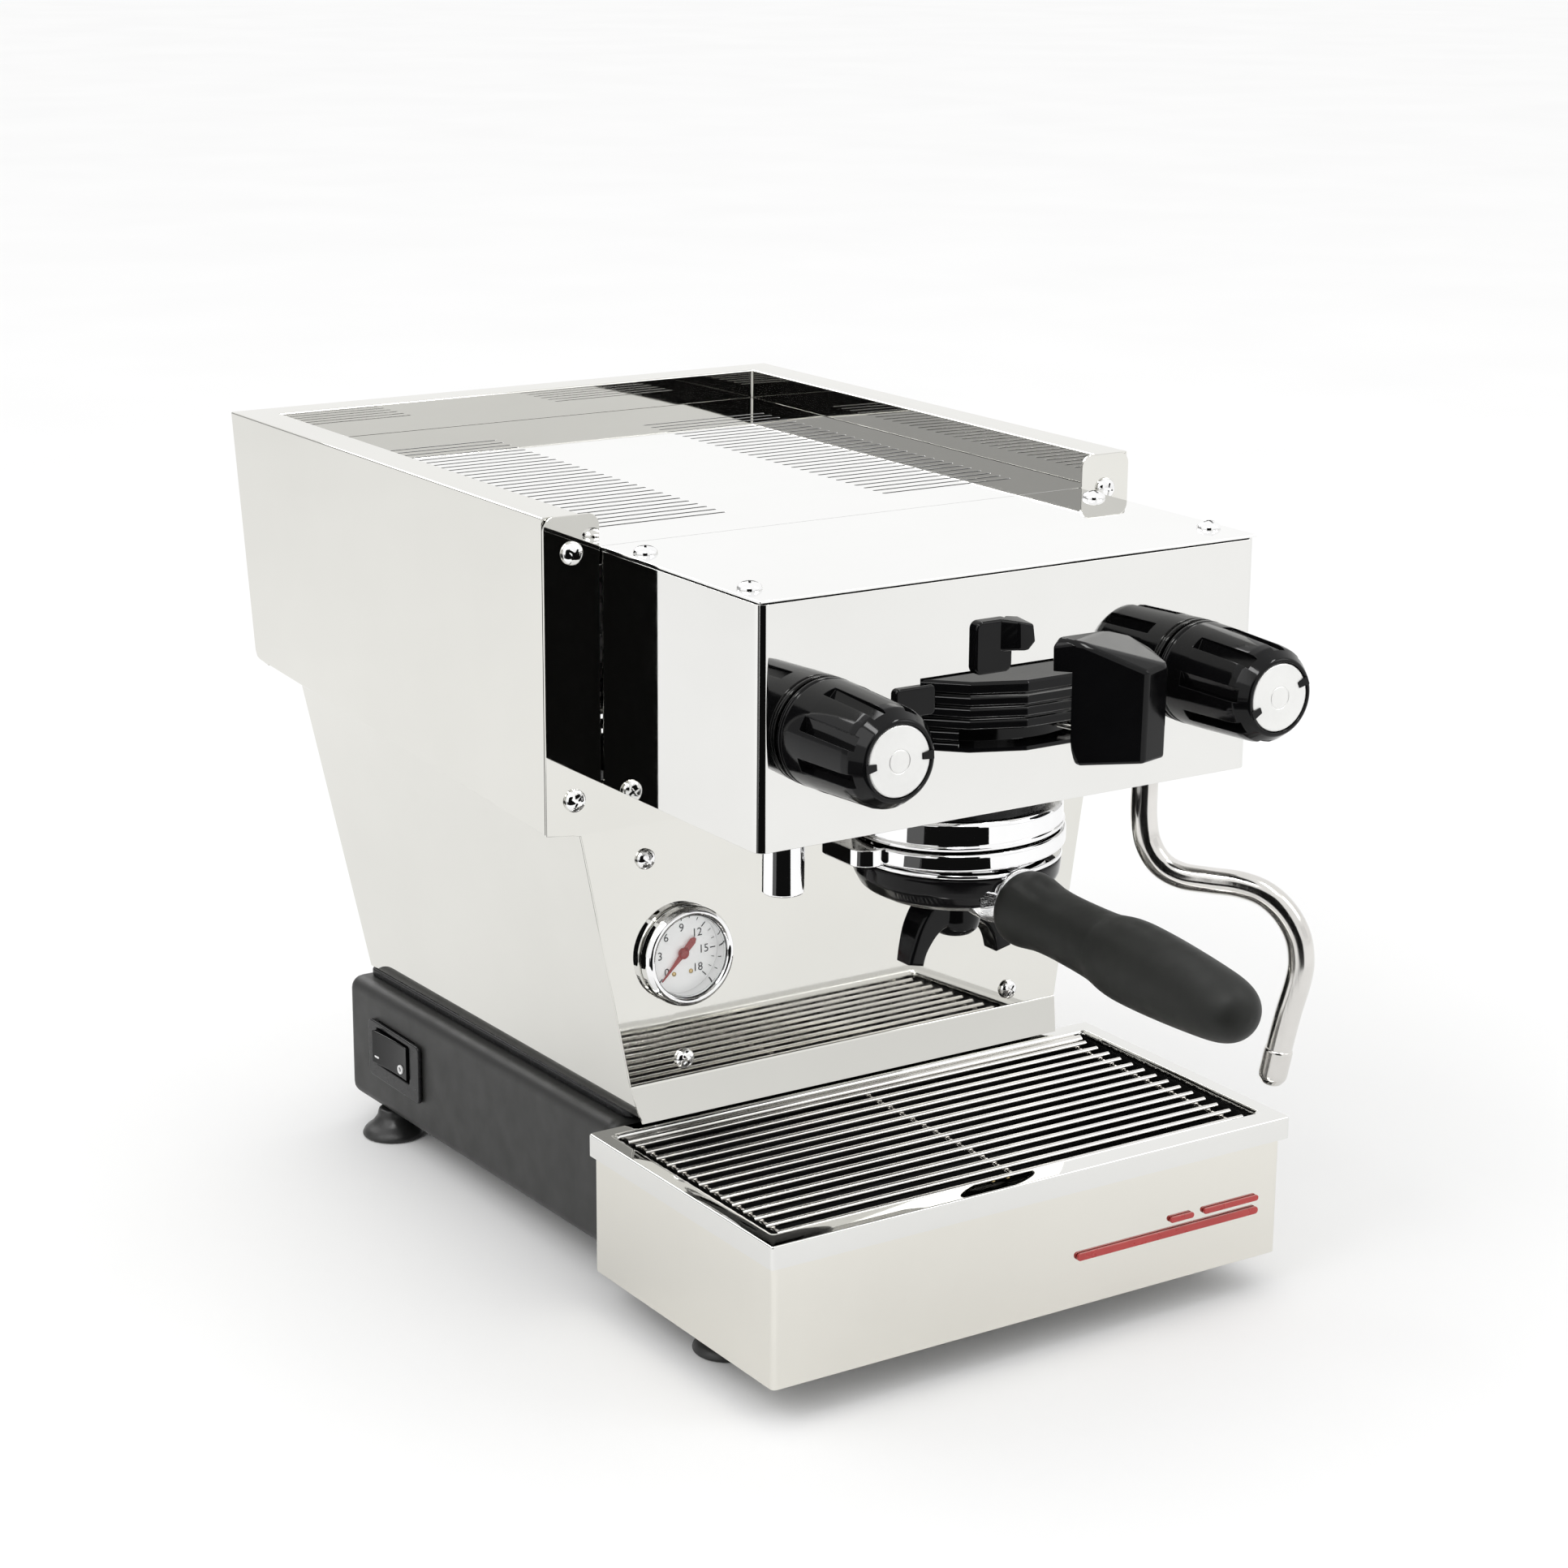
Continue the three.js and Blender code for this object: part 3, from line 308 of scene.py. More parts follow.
def plate(outlines, plane, low, high, bevel=0.25, segments=2):
    """Outlines in mm, the first the outside and the rest holes, filled and given a thickness."""
    cu = bpy.data.curves.new("plate", "CURVE")
    cu.dimensions = "2D"
    cu.fill_mode = "BOTH"
    b = bevel * MM
    cu.extrude = abs(high - low) / 2 * MM - b
    cu.bevel_depth = b
    cu.bevel_resolution = segments
    cu.offset = -b
    for outline in outlines:
        sp = cu.splines.new("POLY")
        sp.points.add(len(outline) - 1)
        for p, (u, v) in zip(sp.points, outline):
            p.co = (u * MM, v * MM, 0, 1)
        sp.use_cyclic_u = True
    obj = bpy.data.objects.new("plate", cu)
    scene.collection.objects.link(obj)
    me = applied(obj)
    bm = bmesh.new()
    bm.from_mesh(me)
    bpy.data.meshes.remove(me)
    bmesh.ops.remove_doubles(bm, verts=bm.verts, dist=1e-6)
    bmesh.ops.transform(bm, matrix=plane_matrix(plane, (low + high) / 2), verts=bm.verts)
    return from_bmesh("plate", bm)


def arc(cu, cv, r, a0, a1, n=6):
    steps = [math.radians(a0 + (a1 - a0) * i / n) for i in range(n + 1)]
    return [(cu + r * math.cos(a), cv + r * math.sin(a)) for a in steps]


def rounded(u0, u1, v0, v1, r, n=6):
    return (
        arc(u1 - r, v0 + r, r, -90, 0, n) + arc(u1 - r, v1 - r, r, 0, 90, n)
        + arc(u0 + r, v1 - r, r, 90, 180, n) + arc(u0 + r, v0 + r, r, 180, 270, n)
    )


def circle(cu, cv, r, n=64):
    return arc(cu, cv, r, 0, 360 - 360 / n, n - 1)


def turned(profile, axis="z", center=(0, 0, 0), segments=96):
    """A profile of (radius, height) in mm turned about Z, or about -Y with heights forward."""
    rings = []
    bm = bmesh.new()
    for r, h in profile:
        if r < 1e-6:
            rings.append([bm.verts.new((0, 0, h))])
            continue
        steps = [2 * math.pi * i / segments for i in range(segments)]
        rings.append([bm.verts.new((r * math.cos(a), r * math.sin(a), h)) for a in steps])
    for a, b in zip(rings, rings[1:]):
        for i in range(segments):
            j = (i + 1) % segments
            loop = [a[i % len(a)], a[j % len(a)], b[j % len(b)], b[i % len(b)]]
            distinct = list(dict.fromkeys(loop))
            if len(distinct) > 2:
                bm.faces.new(distinct)
    if axis == "y":
        bmesh.ops.rotate(bm, matrix=Matrix.Rotation(math.radians(90), 3, "X"), verts=bm.verts)
    bmesh.ops.scale(bm, vec=(MM, MM, MM), verts=bm.verts)
    bmesh.ops.translate(bm, vec=pt(*center), verts=bm.verts)
    return from_bmesh("turned", bm)


def softened(points, r, n=3):
    """A profile with its inner corners rounded by quadratic curves of about radius r."""
    out = [points[0]]
    for a, b, c in zip(points, points[1:], points[2:]):
        va, vb, vc = Vector(a), Vector(b), Vector(c)
        da, dc = (va - vb), (vc - vb)
        if da.length < 1e-6 or dc.length < 1e-6:
            continue
        ka = vb + da.normalized() * min(r, da.length * 0.45)
        kc = vb + dc.normalized() * min(r, dc.length * 0.45)
        for i in range(n + 1):
            t = i / n
            out.append(tuple(ka * (1 - t) ** 2 + vb * 2 * t * (1 - t) + kc * t * t))
    out.append(points[-1])
    return out


def bevelled(me, width, segments=3, angle=28):
    obj = bpy.data.objects.new("work", me)
    scene.collection.objects.link(obj)
    m = obj.modifiers.new("bevel", "BEVEL")
    m.width = width * MM
    m.segments = segments
    m.limit_method = "ANGLE"
    m.angle_limit = math.radians(angle)
    m.use_clamp_overlap = True
    return applied(obj)


def thickened(me, thickness):
    """A surface given a thickness in mm, away from its outer side."""
    obj = bpy.data.objects.new("work", me)
    scene.collection.objects.link(obj)
    m = obj.modifiers.new("solid", "SOLIDIFY")
    m.thickness = thickness * MM
    m.offset = -1
    return applied(obj)


def solid_hull(points):
    bm = bmesh.new()
    for p in points:
        bm.verts.new(pt(*p))
    hull = bmesh.ops.convex_hull(bm, input=bm.verts)
    bmesh.ops.delete(bm, geom=[g for g in hull["geom_interior"]], context="VERTS")
    bmesh.ops.dissolve_limit(bm, angle_limit=math.radians(3), verts=bm.verts, edges=bm.edges)
    return from_bmesh("hull", bm)


def combine(a, b, operation):
    """A boolean of two meshes, as a new mesh."""
    first = bpy.data.objects.new("first", a)
    second = bpy.data.objects.new("second", b)
    scene.collection.objects.link(first)
    scene.collection.objects.link(second)
    m = first.modifiers.new("boolean", "BOOLEAN")
    m.operation = operation
    m.solver = "EXACT"
    m.object = second
    me = applied(first)
    bpy.data.objects.remove(second)
    return me


def joined(meshes):
    bm = bmesh.new()
    for me in meshes:
        bm.from_mesh(me)
    return from_bmesh("joined", bm)


def brick(x0, x1, y0, y1, z0, z1):
    return solid_hull([(x, y, z) for x in (x0, x1) for y in (y0, y1) for z in (z0, z1)])


def moved(me, matrix):
    me.transform(matrix)
    return me


def local(me):
    """A mesh made about the front panel's face, brought to the frame's own origin."""
    return moved(me, Matrix.Translation(-pt(0, 0, 0)))


def loft(bm, rings, close_start=True):
    """Faces between rings of equal length, with the ends closed."""
    for a, b in zip(rings, rings[1:]):
        for i in range(len(a)):
            j = (i + 1) % len(a)
            bm.faces.new((a[i], a[j], b[j], b[i]))
    if close_start:
        bm.faces.new(rings[0])
    bm.faces.new(rings[-1])


def swept(points, r, sides):
    """A round bar along points in metres, with its rings square to the path."""
    bm = bmesh.new()
    rings = []
    side = None
    for i, p in enumerate(points):
        ahead = points[min(i + 1, len(points) - 1)] - points[max(i - 1, 0)]
        ahead.normalize()
        if side is None:
            side = ahead.orthogonal().normalized()
        side = (side - ahead * side.dot(ahead)).normalized()
        other = ahead.cross(side)
        steps = [2 * math.pi * k / sides for k in range(sides)]
        rings.append([
            bm.verts.new(p + (side * math.cos(a) + other * math.sin(a)) * (r * MM)) for a in steps
        ])
    loft(bm, rings)
    return from_bmesh("swept", bm)


def spline(pts, per):
    """Catmull-Rom points between the second point and the last but one."""
    return [
        0.5 * ((2 * b) + (c - a) * t + (2 * a - 5 * b + 4 * c - d) * t * t
               + (3 * b - a - 3 * c + d) * t ** 3)
        for a, b, c, d in zip(pts, pts[1:], pts[2:], pts[3:]) for t in (i / per for i in range(per))
    ]


def smooth_path(control, per):
    """A spline through all the control points."""
    first, last = control[0] * 2 - control[1], control[-1] * 2 - control[-2]
    return [*spline([first, *control, last], per), control[-1].copy()]


# ---------- body panels ----------
def upper_shell():
    """The upper body: outer sides and rear, rail tops, and the rails' inner walls."""
    bm = bmesh.new()
    y0 = SHEET + 0.4

    r = 5
    corner = [
        (REAR_BOTTOM_Y - r * 1.1, shell_bottom(REAR_BOTTOM_Y - r)),
        (REAR_BOTTOM_Y - r * 0.4, shell_bottom(REAR_BOTTOM_Y) + 0.6),
        (REAR_BOTTOM_Y + 0.2, shell_bottom(REAR_BOTTOM_Y) + r * 0.8),
    ]
    side = [(y0, shell_bottom(y0)), *corner, (REAR_TOP_Y, TOP_Z), (y0, TOP_Z)]
    left = [bm.verts.new(pt(-BODY_HALF_W, y, z)) for y, z in side]
    right = [bm.verts.new(pt(BODY_HALF_W, y, z)) for y, z in side]
    bm.faces.new(left)
    bm.faces.new(list(reversed(right)))
    for i in range(1, 4):
        bm.faces.new((left[i], left[i + 1], right[i + 1], right[i]))
    inner = [(-RAIL_X, y0), (-RAIL_X, RAIL_Y), (RAIL_X, RAIL_Y), (RAIL_X, y0)]
    top = [bm.verts.new(pt(x, y, TOP_Z)) for x, y in inner]
    low = [bm.verts.new(pt(x, y, 351)) for x, y in inner]
    bm.faces.new((left[5], left[4], top[1], top[0]))
    bm.faces.new((left[4], right[4], top[2], top[1]))
    bm.faces.new((right[4], right[5], top[3], top[2]))
    for i in range(3):
        bm.faces.new((top[i], top[i + 1], low[i + 1], low[i]))
    turn = 12
    for row, sign in ((left, 1), (right, -1)):
        inside = [bm.verts.new(pt(sign * (-BODY_HALF_W + turn), y, z)) for y, z in side[:2]]
        bm.faces.new((row[0], row[1], inside[1], inside[0]))
    rear = [bm.verts.new(pt(x, REAR_BOTTOM_Y - turn - 4, shell_bottom(REAR_BOTTOM_Y - 16)))
            for x in (-BODY_HALF_W, BODY_HALF_W)]
    bm.faces.new((left[1], right[1], rear[1], rear[0]))
    me = from_bmesh("shell", bm)
    return thickened(bevelled(me, 0.9, 3, 30), SHEET)


add("shell", upper_shell(), BODY_STEEL_SHADED, replaces=["upper_shell"])


def front_panel():
    """A flat sheet with two ears, the gauge holes and the lower splash, bent at its foot."""
    r = 6
    ear = HEAD_HALF_W + 0.8
    top = TOP_Z + 0.2
    foot = lower_half_width(BEND_Z)
    right = [(foot, BEND_Z), (WAIST_HALF_W, WAIST_Z), (WAIST_HALF_W + 4, 230), (BODY_HALF_W, 231.5)]
    right += arc(BODY_HALF_W - r, top - r, r, 0, 90)
    right += arc(ear + r, top - r, r, 90, 180)
    right += [(ear, HEAD_BOTTOM_Z + 2)]
    left = [(-u, v) for u, v in reversed(right)]
    holes = [circle(sx * GAUGE_X, GAUGE_Z, 22.4) for sx in (-1, 1)]
    flat = plate([right + left, *holes], "xz", 0.0, 1.2, 0.3)
    lean = BEND_Y / (WAIST_Z - BEND_Z)
    for v in flat.vertices:
        z = v.co.z / MM
        v.co.y += max(0, WAIST_Z - z) * lean * MM
    lip_w = lower_half_width(SPLASH_FOOT_Z)
    bm = bmesh.new()
    rows = []
    for y, z, w in (
        (BEND_Y, BEND_Z, foot), (BEND_Y - 0.6, BEND_Z - 1.2, foot - 0.2),
        (SPLASH_FOOT_Y, SPLASH_FOOT_Z, lip_w),
    ):
        rows.append([bm.verts.new(pt(x, y, z)) for x in (-w, w)])
    for a, b in zip(rows, rows[1:]):
        bm.faces.new((a[0], a[1], b[1], b[0]))
    return joined([flat, thickened(from_bmesh("lip", bm), SHEET)])


add("front_sheet", front_panel(), BODY_STEEL_SHADED, replaces=["front_panel"], angle=20)


def cup_tray():
    x = RAIL_X - 0.7
    holes = []
    for i in range(29):
        y = 39 + i * 8
        for s in (-1, 1):
            u0, u1 = sorted((s * 44.5, s * 120.5))
            holes.append(
                arc(u1 - 1.1, y, 1.1, -90, 90, 5) + arc(u0 + 1.1, y, 1.1, 90, 270, 5)
            )
    outer = rounded(-x, x, SHEET + 0.3, RAIL_Y - 0.7, 0.8, 2)
    top = plate([outer, *holes], "xy", 360.2, 361.4, 0.07)
    skirt = plate(
        [rounded(-x + 1, x - 1, 3, RAIL_Y - 2, 0.8, 2),
         rounded(-x + 2.2, x - 2.2, 4.2, RAIL_Y - 3.2, 0.6, 2)],
        "xy", 352.6, 360.4, 0.2,
    )
    return joined([top, skirt])


add("cup_shelf", cup_tray(), TOP_STEEL_LIT, "cup_tray", ["cup_tray"], angle=8)


# A dark sheet within the shelf's thickness that fills its slots with painted shade.
def cup_tray_underlay():
    return plate([rounded(-139, 139, 5, 305, 2)], "xy", 360.35, 361.15, 0.1)


add("cup_shelf_slot_shade", cup_tray_underlay(), SHADE_AND_SEAM_BLACK, "cup_tray")


def head_cover():
    """The head's wrap: both sides and the front from one sheet with rolled corners."""
    r = 4.6
    path = [(-HEAD_HALF_W, -0.4)]
    path += arc(-HEAD_HALF_W + r, HEAD_FRONT_Y + r, r, 180, 270, 14)
    path += arc(HEAD_HALF_W - r, HEAD_FRONT_Y + r, r, 270, 360, 14)
    path += [(HEAD_HALF_W, -0.4)]
    inner = [(-HEAD_HALF_W + SHEET, -0.4)]
    inner += arc(-HEAD_HALF_W + r, HEAD_FRONT_Y + r, r - SHEET, 180, 270, 14)
    inner += arc(HEAD_HALF_W - r, HEAD_FRONT_Y + r, r - SHEET, 270, 360, 14)
    inner += [(HEAD_HALF_W - SHEET, -0.4)]
    wrap = plate([path + inner[::-1]], "xy", HEAD_BOTTOM_Z, HEAD_TOP_Z - SHEET - 0.7, 0.25)
    mouth = brick(-52, 52, -140, -120, CAP_BOTTOM_Z - 0.6, CAP_TOP_Z + 0.6)
    return combine(wrap, mouth, "DIFFERENCE")


add("head_wrap", head_cover(), STEEL, replaces=["head_cover"])


def head_top():
    x = HEAD_HALF_W + 0.1
    return plate([rounded(-x, x, HEAD_FRONT_Y - 0.3, 0.9, 0.6, 3)], "xy", HEAD_TOP_Z - SHEET,
                 HEAD_TOP_Z, 0.3)


add("head_lid", head_top(), TOP_STEEL_LIT, replaces=["head_top_plate"])
add("head_lid_seam", plate([rounded(-132.4, 132.4, HEAD_FRONT_Y + 1.6, -1.5, 3)], "xy", 359.2, 360.4, 0.1),
    SHADE_AND_SEAM_BLACK)


def lower_side(sign):
    """A leaning side panel whose lower edge falls towards the rear."""
    def foot_z(y):
        return 90.8 - BASE_TILT * y

    outline = [
        (SPLASH_FOOT_Y + 3, foot_z(0)), (272.5, foot_z(272.5)), (289, shell_bottom(289)),
        (1.5, shell_bottom(1.5)),
        (BEND_Y + 1.5, BEND_Z),
    ]
    me = plate([outline], "yz", -0.6, 0.6, 0.3)
    for v in me.vertices:
        z = v.co.z / MM
        v.co.x += sign * (lower_half_width(z) - 0.6) * MM
    return me


for label, sign in (("left", -1), ("right", 1)):
    add(f"lower_side_{label}", lower_side(sign), BODY_STEEL_SHADED,
        replaces=[f"lower_side_panel_{label}"])


# ---------- base ----------
def base_body():
    """The lacquered base: a box with generous rounded edges that drops towards the rear."""
    half, front, rear = 130.5, 2.0, 279.0
    bm = bmesh.new()
    bmesh.ops.create_cube(bm, size=1)
    for v in bm.verts:
        v.co.x *= 2 * half
        v.co.y = front if v.co.y < 0 else rear
        v.co.z = 20.0 if v.co.z < 0 else 86.4
    me = from_bmesh("base", bm)
    obj = bpy.data.objects.new("work", me)
    scene.collection.objects.link(obj)
    m = obj.modifiers.new("bevel", "BEVEL")
    m.width = 7
    m.segments = 6
    base = applied(obj)
    for v in base.vertices:
        x, y, z = v.co
        v.co = pt(x, y, z - BASE_TILT * y)
    recess = brick(-135, -122, 201.5, 242.5, 40, 65)
    return combine(base, recess, "DIFFERENCE")


add("base_shell", base_body(), PAINT, replaces=["base_chassis"])


def front_shelf():
    return plate([rounded(-129, 129, -111, 8, 4)], "xy", 21.7, 25.5, 0.5)


add("base_shelf", front_shelf(), PAINT)


def plinth():
    w = lower_half_width(86) + 1.0
    me = plate(
        [rounded(-w, w, 3, 273, 6), rounded(-w + 6, w - 6, 9, 267, 4)], "xy", 86.2, 90.6, 1.2, 3,
    )
    for v in me.vertices:
        v.co.z -= BASE_TILT * (v.co.y - SHIFT_Y * MM)
    return me


add("plinth_trim", plinth(), PLASTIC, replaces=["plinth_strip"])


def foot(x, y, top):
    profile = softened(
        [(0, 0.05), (15.6, 0.05), (16.6, 1.4), (15.2, 4), (11, 7.4), (8.4, 11), (8, 13.5), (7.2, top),
         (0, top)],
        1.6, 4,
    )
    return turned(profile, center=(x, y, 0), segments=64)


for label, sign in (("left", -1), ("right", 1)):
    add(f"rear_foot_{label}", foot(sign * 123, 243, 15.2), RUBBER,
        replaces=[f"foot_rear_{label}"])
    add(f"front_foot_{label}", foot(sign * 115, -77, 21.5), RUBBER,
        replaces=[f"foot_front_{label}"])


def switch_bezel():
    y = SWITCH_Y
    ring = plate(
        [rounded(y - 29, y + 28, 34, 65, 3.2), rounded(y - 18.3, y + 18.3, 42, 62.3, 1)],
        "yz", -133.0, -130.9, 0.7, 3,
    )
    sleeve = plate(
        [rounded(y - 19.8, y + 19.8, 40.7, 64.2, 1), rounded(y - 18.4, y + 18.4, 42, 62.4, 1)],
        "yz", -131.5, -123, 0.3,
    )
    back = plate([rounded(y - 18.4, y + 18.4, 42, 62.4, 1)], "yz", -124.2, -123.1, 0.2)
    return joined([ring, sleeve, back])


add("switch_frame", switch_bezel(), PLASTIC, replaces=["switch_bezel"])


def rocker():
    top = []
    for i in range(17):
        u = -17.3 + 34.6 * i / 16
        t = i / 16
        dip = 4.2 * (1 - (2 * t - 1) ** 2) * 0.35
        top.append((u, 5.2 + 1.9 * t - dip * 0.5))
    outline = [(-17.3, 0.3), (17.3, 0.3), *reversed(top)]
    me = plate([outline], "xy", 43.9, 61.6, 0.5, 3)
    turn = Matrix.Rotation(math.radians(90), 4, "Z")
    back = Matrix.Translation((0, -SHIFT_Y * MM, 0))
    there = Matrix.Translation(pt(-129, SWITCH_Y, 0))
    return moved(moved(me, back), there @ turn)


add("rocker_key", rocker(), GLOSS, "switch_rocker", ["switch_rocker"])
add("rocker_mark_on", plate([rounded(233.2, 237.4, 47.4, 48.3, 0.3)], "yz", -135.9, -134.6, 0.1),
    MARK, "switch_rocker")
add("rocker_mark_off", plate([circle(210.6, 48.4, 2.4, 32), circle(210.6, 48.4, 1.5, 32)], "yz",
                             -135.0, -133.2, 0.1), MARK, "switch_rocker")


# ---------- screws ----------
def screw(r, slot_turn):
    """A domed head with a cross of two slots."""
    top = 0.7 + r * 0.55
    profile = [(0, 0.2), (r * 0.92, 0.2), (r, 0.7)]
    for i in range(1, 9):
        a = i * math.pi / 16
        profile.append((r * math.cos(a), 0.7 + r * 0.55 * math.sin(a)))
    profile[-1] = (0, top)
    head = local(turned(profile, segments=48))
    spin = Matrix.Rotation(slot_turn, 4, "Z")
    for half_x, half_y in ((r * 0.62, 0.55), (0.55, r * 0.5)):
        slot = local(brick(-half_x, half_x, -half_y, half_y, top - 1.0, top + 2))
        head = combine(head, moved(slot, spin), "DIFFERENCE")
    return head


FORWARD = Matrix.Rotation(math.radians(90), 4, "X")
for label, sign in (("left", -1), ("right", 1)):
    for row, x, z in (("upper", 149, 360), ("lower", 148.8, 246.5)):
        me = moved(screw(5.3, 0.4 + sign), Matrix.Translation(pt(sign * x, 0, z)) @ FORWARD)
        add(f"flange_screw_{row}_{label}", me, CHROME,
            replaces=[f"ear_screw_{row}_{label}"])
    for row, x, z in (("high", 112.4, 213.5), ("low", 94, 114)):
        me = moved(screw(4.9, 0.9 * sign), Matrix.Translation(pt(sign * x, splash_y(z), z)) @ FORWARD)
        add(f"splash_screw_{row}_{label}", me, CHROME)
    for row, y in (("rear", -22.5), ("front", -107.7)):
        me = moved(screw(5.6, 0.5 + sign), Matrix.Translation(pt(sign * 124.6, y, HEAD_TOP_Z - 0.3)))
        add(f"lid_screw_{row}_{label}", me, CHROME)


# ---------- group cap, tab and paddle ----------
def polygon_ring(r, z, sides=16):
    return [
        (r * math.sin(math.radians(360 / sides * (i + 0.5))),
         -r * math.cos(math.radians(360 / sides * (i + 0.5))), z) for i in range(sides)
    ]


def front_sector(degrees, outer, inner):
    """A band about the cap's axis, through angles measured from the front."""
    steps = [math.radians(d) for d in degrees]
    outline = [(math.sin(a) * outer, CAP_Y - math.cos(a) * outer) for a in steps]
    return outline + [(math.sin(a) * inner, CAP_Y - math.cos(a) * inner) for a in reversed(steps)]


def group_cap():
    """Stacked sixteen-sided fins with chamfered edges."""
    sides, fins, r = 16, 6, 65.2
    pitch = (CAP_TOP_Z - CAP_BOTTOM_Z) / fins
    levels = []
    for i in range(fins):
        z = CAP_BOTTOM_Z + i * pitch
        last = i == fins - 1
        top = z + (pitch if last else pitch - 1.5)
        levels += [(r - 3, z), (r - 0.6, z), (r, z + 0.5), (r, top - (1.2 if last else 0.5)),
                   (r - (1.4 if last else 0.6), top)]
        if not last:
            levels.append((r - 3, top))
    bm = bmesh.new()
    rings = [[bm.verts.new(pt(x, y + CAP_Y, z)) for x, y, z in polygon_ring(rr, zz)] for rr, zz in levels]
    loft(bm, rings)
    me = bevelled(from_bmesh("cap", bm), 0.25, 2, 12)
    window = plate([front_sector(range(-38, 41, 3), 70, 52)], "xy", 288.3, 295.7, 0.1)
    return combine(me, window, "DIFFERENCE")


add("cap_fins", group_cap(), GLOSS, replaces=["group_cap"], angle=14)
lug = plate([rounded(-68, -47, 302.6, 316, 2.4)], "xz", HEAD_FRONT_Y - 5, HEAD_FRONT_Y - 0.3, 1.2, 4)
add("cap_lug", lug, GLOSS)


def cap_tab():
    web = plate([rounded(-27.5, -8.0, 317.2, 341, 3.6)], "xz", -137.2, HEAD_FRONT_Y - 0.5, 1.3, 4)
    nub = solid_hull([
        (-15, -137, 341), (-15, -137, 327), (-8.5, -131.6, 341), (-8.5, -131.6, 327), (-3, -133, 340.4),
        (-3, -133, 330), (-10.5, -144.6, 341), (-2.2, -144.4, 338.8), (-1.6, -145.2, 331),
        (-4.8, -144.8, 327.6),
        (-9.4, -143.4, 328),
    ])
    return joined([web, bevelled(nub, 1.1, 4)])


add("cap_stop", cap_tab(), GLOSS, replaces=["cap_tab"])


def paddle():
    """The faceted thumb block, softened at its edges, on its arm."""
    block = solid_hull([
        (11.8, -157, 276), (39.8, -170.5, 276), (54.8, -166.5, 276), (57, -150, 276), (40, -141, 276),
        (11.8, -157, 331.8), (40.6, -170.5, 317.4), (55.6, -166.4, 318), (58, -150, 322),
        (4.6, -148.8, 316), (4.4, -148.6, 329.6), (8.6, -147.8, 333), (31, -146.2, 331.4), (50, -142.4, 328),
        (40, -141.4, 331),
    ])
    block = bevelled(block, 1.8, 5, 14)
    swept_core = turned([(0, 260), (65, 260), (65, 318.1), (0, 318.1)], center=(0, CAP_Y, 0))
    upper_core = turned([(0, 300), (55.8, 300), (55.8, 345), (0, 345)], center=(0, CAP_Y, 0))
    return combine(combine(block, swept_core, "DIFFERENCE"), upper_core, "DIFFERENCE")


def paddle_arm():
    return plate([front_sector(range(14, 39, 3), 69, 53)], "xy", 290.6, 292.8, 0.5, 3)


add("paddle_block", paddle(), GLOSS, "brew_paddle", ["brew_paddle"])
add("paddle_arm", paddle_arm(), SATIN, "brew_paddle")


# ---------- group ring and portafilter ----------
RAMP = 0.035  # how much the bayonet's ring rises to the right, per mm
RING_HALF_W = 48


def ramped(me, below=237):
    """A piece of the ring whose part below a height climbs to the right."""
    for v in me.vertices:
        if v.co.z / MM < below:
            v.co.z += RAMP * (v.co.x / MM + RING_HALF_W) * MM
    return me


def group_ring():
    band = turned(softened([(45.5, 248), (45.5, 238), (46, 235.4), (48.6, 235), (48.9, 236.6), (48.1, 237.4),
                            (48, 247.2), (47, 248.6), (44, 249), (36, 249), (45.5, 248)], 0.5, 3),
                  center=(0, GROUP_Y, 0), segments=128)
    lip = turned(softened([(41, 226), (48.6, 225.6), (49.4, 226.6), (49.4, 232.6), (48.8, 233.6),
                           (44, 234.6),
                           (41, 234.6), (41, 226)], 0.5, 3), center=(0, GROUP_Y, 0), segments=128)
    lobe = plate([rounded(-60.5, -40, GROUP_Y - 12, GROUP_Y + 26, 9, 8)], "xy", 225.8, 233.8, 0.6, 3)
    lip = combine(lip, turned([(0, 220), (41.2, 220), (41.2, 240), (0, 240)], center=(0, GROUP_Y, 0)),
                  "DIFFERENCE")
    cut = turned([(0, 220), (42, 220), (42, 240), (0, 240)], center=(0, GROUP_Y, 0))
    lobe = combine(lobe, cut, "DIFFERENCE")
    return joined([ramped(band, 238), ramped(lip), ramped(lobe)])


add("bayonet_ring", group_ring(), CHROME, replaces=["group_ring"])
neck_ring = turned(softened([(0, 247.4), (40, 247.4), (40, 252.6), (0, 252.6)], 0.6), center=(0, GROUP_Y, 0))
add("group_recess", neck_ring, PLASTIC)


def bowl():
    """The black lacquered bowl, with a bright flange at its top."""
    profile = softened([
        (6, 203.7), (22, 203.5), (37, 205), (43.8, 208.8), (47, 214.6), (47.7, 221.4), (47, 222.2),
        (40, 222.2),
        (40, 221), (36, 211), (6, 207), (6, 203.7),
    ], 1.6, 4)
    return turned(profile, center=(0, GROUP_Y, 0), segments=128)


def bowl_rim():
    profile = softened([
        (40.2, 222.4), (47.2, 222.4), (48, 223.2), (47.6, 224.6), (41, 224.8), (39.5, 225.4), (39.5, 241),
        (36.6, 241), (36.6, 222.4), (40.2, 222.4),
    ], 0.4, 3)
    ring = turned(profile, center=(0, GROUP_Y, 0), segments=128)
    ears = []
    for turn in (10, 190):
        ear = brick(38.4, 44, -7, 7, 238.5, 240.7)
        spin = Matrix.Rotation(math.radians(turn), 4, "Z")
        there = Matrix.Translation(pt(0, GROUP_Y, 0)) @ spin
        ears.append(bevelled(moved(local(ear), there), 0.4, 2))
    return joined([ring, *ears])


